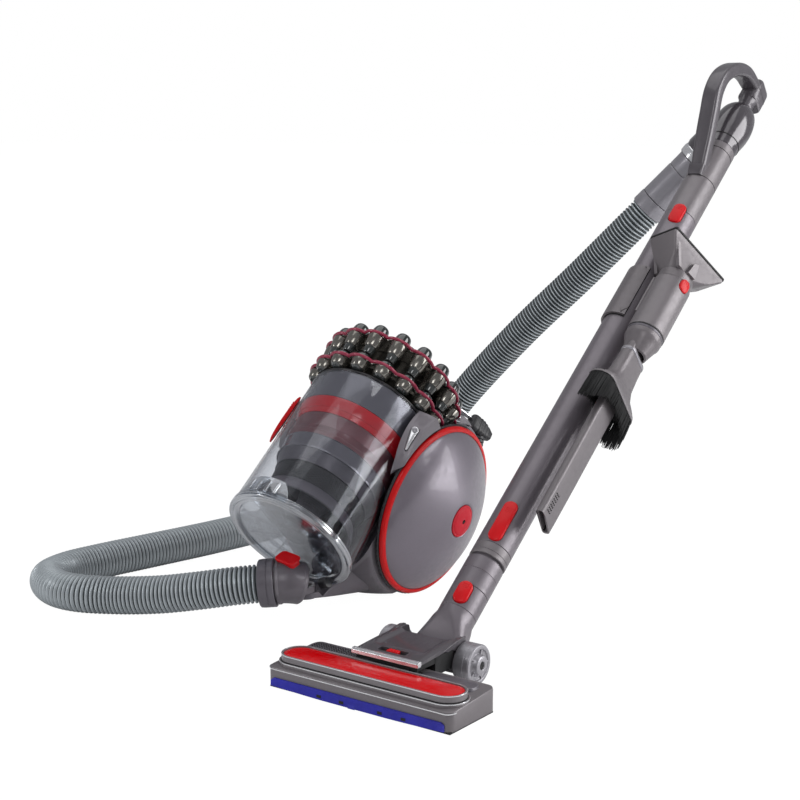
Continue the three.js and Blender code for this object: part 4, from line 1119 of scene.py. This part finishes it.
def yoke_plate():
    """A plate that widens to the front, with a dished middle and a slot for the slider."""
    front, back, half_front, half_back = -84, -13, 43.5, 40.5
    rows = []
    for i in range(25):
        t = i / 24
        x = front + (back - front) * t
        half = half_front + (half_back - half_front) * t
        top = 22 + 5.5 * t + 0.8 * sin(pi * t)
        low = 18.5 + 2.0 * min(1, t * 1.2) + 2.4 * max(0, t - 0.75) * 2
        line = []
        for k in range(33):
            y = half * (2 * k / 32 - 1)
            inside = 1 / (1 + exp((abs(y) - half * 0.74) / 0.8))
            dish = 2.6 * inside * min(1, max(0, (t - 0.30) / 0.06))
            round_off = 1.4 * (abs(y) / half) ** 14
            line.append((x, y, top - dish - round_off))
        rows.append(line + [(x, half, low), (x, -half, low)])
    slot = one(flat(rounded(8.6, 36.6, 1.6), 10, 34), AXLE @ at(SLIDER_X, 0, 0))
    piece("yoke_plate", one(loft(rows), AXLE), "grip_grey", "yoke", "yoke", bevel=0.6, sharp=35, cuts=[slot])


def yoke_arms():
    bar = [(-88.4, 17.2), (-83, 17.2), (-81.5, 20), (-82.6, 23.2), (-86.2, 23.4), (-88.4, 21.2)]
    shape = one(across(bar, -44, 44), AXLE)
    # two black blocks under the plate: painted shade that hides the floor seen through the gap below it
    shape.add(across([(-84, 11.5), (-36, 11.5), (-30, 19), (-84, 19)], -40, 40), AXLE, 2)
    shape.add(across([(-52, -2), (-22, -2), (-18, 19), (-52, 19)], -40.5, 40.5), AXLE, 2)
    shape.add(flat(rounded(42, 10.5, 2.0), 18.8, 20.4), AXLE @ at(SLIDER_X, 0, 0) @ turn(90, "Z"), 2)
    arm = [(-24, 20), (-13, 26.6), (-4, 27.4), (4, 26), (10, 8), (8, -7), (-5, -8), (-9, 2), (-10, 14)]
    rib = [(-40, 21.6), (-13, 27.4), (-4, 28.4), (4, 27), (-8, 22), (-30, 19)]
    for hand in BOTH:
        shape.add(across(arm, *sorted((hand * 34.8, hand * 40.6))), AXLE, 1)
        shape.add(across(rib, *sorted((hand * 38.6, hand * 42.4))), AXLE, 1)
        shape.add(box(8, 8, 14, (-76, hand * 30, 12)), AXLE, 2)
    shape.add(eased_rod(4, -64, 64, 0.6), AXLE @ turn(90, "X"))
    piece("yoke_arms", shape, "silver grip_grey seam_black", "yoke", bevel=0.4, sharp=35)
    knob = crowned(lambda i: rounded(7 - 2 * i, 15 - 2 * i, 1.6 - i / 2), [(20.7, 0), (23.3, 0), (24, 0.7)])
    shape = one(knob, AXLE @ at(SLIDER_X, 0, 0))
    for y in (-4, 0, 4):
        shape.add(box(5.4, 1, 0.8, (SLIDER_X, y, 24.1)), AXLE)
    piece("suction_slider_knob", shape, "catch_red", "suction_slider", "suction_slider", bevel=0.25, sharp=40)


def head_wheel(side):
    tread = [(4.3, 41), (20.8, 41), (22.2, 41.8), (22.5, 43), (22.5, 54), (22.1, 54.5), (22.5, 55)]
    tread += [(22.5, 60.4), (21.6, 61.8), (19, 62.4), (17.4, 62), (16.4, 60.4), (13, 60), (11.4, 62.4)]
    tread += [(10.6, 65.4), (9.6, 66), (5, 66), (4.3, 65.2)]
    place = AXLE @ turn(-90 * side, "X")
    shape = sleeve(tread, place)
    shape.add(lathe([(0, 62), (3.9, 62), (3.9, 64.6), (3.2, 65.4), (0, 65.4)], 32), place, 1)
    for i in range(5):
        shape.add(box(9, 1.8, 2.4, (14.4, 0, 60.6)), place @ turn(72 * i, "Z"))
    name = f"head_wheel_{SIDE_NAME[side]}"
    piece(f"{name}_tread", shape, "wheel_silver seam_black", name, name, bevel=0.2, sharp=35)


neck()
yoke_plate()
yoke_arms()
for hand in BOTH:
    head_wheel(hand)

# ---------------------------------------------------------------- floor head
HEAD_HALF, HEAD_MIDDLE, HEAD_FOOT, PANEL_X = 120.5, -343.1, 2.2, -356
PANEL_LENGTH, PANEL_BREADTH = 230, 36


def stadium_wall(grow, thick, low, high):
    """A wall standing round the red panel's outline."""
    def outline(extra):
        length, breadth = PANEL_LENGTH + 2 * (grow + extra), PANEL_BREADTH + 2 * (grow + extra)
        return rounded(breadth, length, breadth / 2 - 0.1, 12)

    levels = [(0, low), (thick, low), (thick, high - 0.3), (thick - 0.3, high), (0, high)]
    return loft([[(x + PANEL_X, y + WAND_Y, z) for x, y in outline(extra)] for extra, z in levels], True)


def head_top(x):
    return 23.4 + 0.068 * (x + 384)


def head_shell():
    """The flat body: rounded corners in plan, its top rising gently towards the back."""
    rings = []
    for share, inset in ((0, 1.0), (0.04, 0), (0.90, 0), (0.97, 0.6), (1.0, 2.0)):
        outline = rounded(82.2 - 2 * inset, 2 * (HEAD_HALF - inset), 9 - inset)
        outline = [(x + HEAD_MIDDLE, y) for x, y in outline]
        rings.append([(x, y, HEAD_FOOT + share * (head_top(x) - HEAD_FOOT)) for x, y in outline])
    return loft(rings)


def head_body():
    cuts = [one(box(26, 212, 14, (PANEL_X, WAND_Y, 2)))]
    cuts += [one(box(15, 12, 16, (-322, WAND_Y + y, 33))) for y in (-30, 30)]
    cuts.append(one(rod(14, 8, 60, 32), at(-320, WAND_Y, 0)))
    piece("floor_head_body", one(head_shell(), HEAD), "tool_grey", "head", "head_body", bevel=0.4, sharp=32,
          cuts=cuts)


def head_trim():
    """Steps and silver lines round the panel, two humps behind it and a field of small dots."""
    trim = one(stadium_wall(0.25, 2.2, 23, 35.4))
    trim.add(stadium_wall(1.9, 0.75, 34.6, 35.7), None, 1)
    trim.add(stadium_wall(2.0, 1.0, 27.6, 28.8), None, 2)
    trim.add(stadium_wall(2.2, 2.6, 22, 27.6))
    trim.add(stadium_wall(4.3, 0.8, 26.9, 27.9), None, 1)
    edge = [(x + HEAD_MIDDLE, y + WAND_Y) for x, y in rounded(83, 2 * HEAD_HALF + 0.8, 9.4)[6:22]]
    edge = [Vector((x, y, head_top(x) - 2.0)) for x, y in edge if x < -372]
    square = [(-0.5, -0.5), (0.5, -0.5), (0.5, 0.5), (-0.5, 0.5)]
    trim.add(swept(edge, lambda i: square), None, 1)
    for y, length, high in ((64, 92, 34.6), (-74, 70, 31.5)):
        heights = [(24, 0), (high - 3.5, 0), (high - 1.2, 1.2), (high, 4)]
        trim.add(crowned_block(26, length, 11, heights, 8), at(-322, WAND_Y + y, 0), 3)
    dot = eased_rod(1.0, 0, 0.9, 0.3, 8)
    for row in range(4):
        for k in range(22):
            trim.add(dot, at(3.6 * row - 330, WAND_Y + 30 + 3.4 * k, 34.4), 2)
    piece("floor_head_trim", trim, "tool_grey silver seam_black dark_grey", "head", sharp=35)
    panel = crowned_block(35.8, 229.8, 17.7, [(29.4, 0), (34.3, 0), (34.7, 0.8), (35.3, 5)], 12)
    panel = one(panel, at(PANEL_X, WAND_Y, 0))
    piece("floor_head_panel", panel, "panel_red", "head", "head_panel", bevel=0.3, sharp=50)


def felt_strip():
    rows = []
    for k in range(61):
        y = -113 + 226 * k / 60
        low = 1.6 + 3.2 * max(0, abs(y) / 113 - 0.35) ** 1.5
        high = 12.4 if 0 < k < 60 else 9.9
        line = [(-387.3, low + 0.5), (-387, high - 0.6), (-386.3, high), (-384.3, high)]
        rows.append([(x, y, z) for x, z in line + [(-384.3, low), (-386.8, low)]])
    strip = one(loft(rows), HEAD)
    strip.add(box(2.6, 9, 4.5, (-386, 3, 3.4)), HEAD)
    for y in (-64, -34, 16, 46):
        strip.add(box(0.8, 6, 3.2, (-387.1, y, 5.6)), HEAD, 1)
    piece("felt_strip_pad", strip, "felt_blue seam_black", "head", "felt_strip", bevel=0.2, sharp=40)


head_body()
head_trim()
felt_strip()


# ---------------------------------------------------------------- stage
def stage():
    """A pale floor that looks white to the camera, under a soft white sky."""
    size = 30.0
    data = bpy.data.meshes.new("floor")
    corners = [(sx * size, sy * size, 0) for sx, sy in ((-1, -1), (1, -1), (1, 1), (-1, 1))]
    data.from_pydata(corners, [], [(0, 1, 2, 3)])
    n = nodes_for("floor_pale")
    pale = n.new("BsdfDiffuse")
    tone = n.blend(n.spread(n.noise(3), 0, 1), [0.86, 0.86, 0.86, 1], [0.9, 0.9, 0.9, 1])
    n.link(tone, pale.inputs["Color"])
    lit = n.new("Emission", Strength=1.06)
    seen_by = n.new("LightPath")
    share = n.spread(seen_by.outputs["Is Camera Ray"], 0.0, 0.93, 0.0, 1.0)
    n.out(n.mix(share, pale.outputs[0], lit.outputs[0]))
    data.materials.append(MATERIALS["floor_pale"])
    linked("floor", data)
    world = bpy.data.worlds.new("studio")
    bpy.context.scene.world = world
    n = Nodes(world)
    seen_by = n.new("LightPath")
    seen = n.new("Background", Color=[1, 1, 1, 1], Strength=1.0)
    soft = n.new("Background", Color=[0.95, 0.96, 1.0, 1], Strength=0.36)
    n.out(n.mix(seen_by.outputs["Is Camera Ray"], soft.outputs[0], seen.outputs[0]), "World")


def softbox(name, place, target, size, energy):
    light = bpy.data.lights.new(name, "AREA")
    light.shape, light.size, light.size_y, light.energy = "RECTANGLE", size[0], size[1], energy
    obj = linked(name, light)
    obj.location = Vector(place) + BALL_PLACE * MM
    obj.rotation_euler = (Vector(target) - Vector(place)).to_track_quat("-Z", "Y").to_euler()


def camera():
    """The photo's own place and direction, solved from the wheel, the bin and the floor line."""
    data = bpy.data.cameras.new("camera")
    data.lens, data.sensor_width, data.clip_end = 72, 36, 100
    obj = linked("camera", data)
    forward = Vector((0.7909, 0.587, -0.1732))
    right = Vector((0.596, -0.803, 0)).normalized()
    up = right.cross(forward).normalized()
    turned = Matrix((right, up, -forward)).transposed().to_4x4()
    place = Vector((-1.6207, -1.2317, 0.6027)) + BALL_PLACE * MM
    obj.matrix_world = Matrix.Translation(place) @ turned
    bpy.context.scene.camera = obj


stage()
camera()
softbox("key", (1.15, -2.25, 0.95), (-0.08, 0, 0.25), (1.5, 2.3), 60)
softbox("front", (-2.6, -1.6, 2.4), (0, -0.1, 0.2), (1.1, 1.1), 20)
softbox("left", (-2.4, 1.9, 1.2), (-0.1, 0, 0.25), (0.5, 2.0), 22)
softbox("top", (0.3, 0.2, 3.0), (0, 0, 0), (2.6, 2.6), 26)
bpy.context.scene.view_settings.view_transform = "Standard"
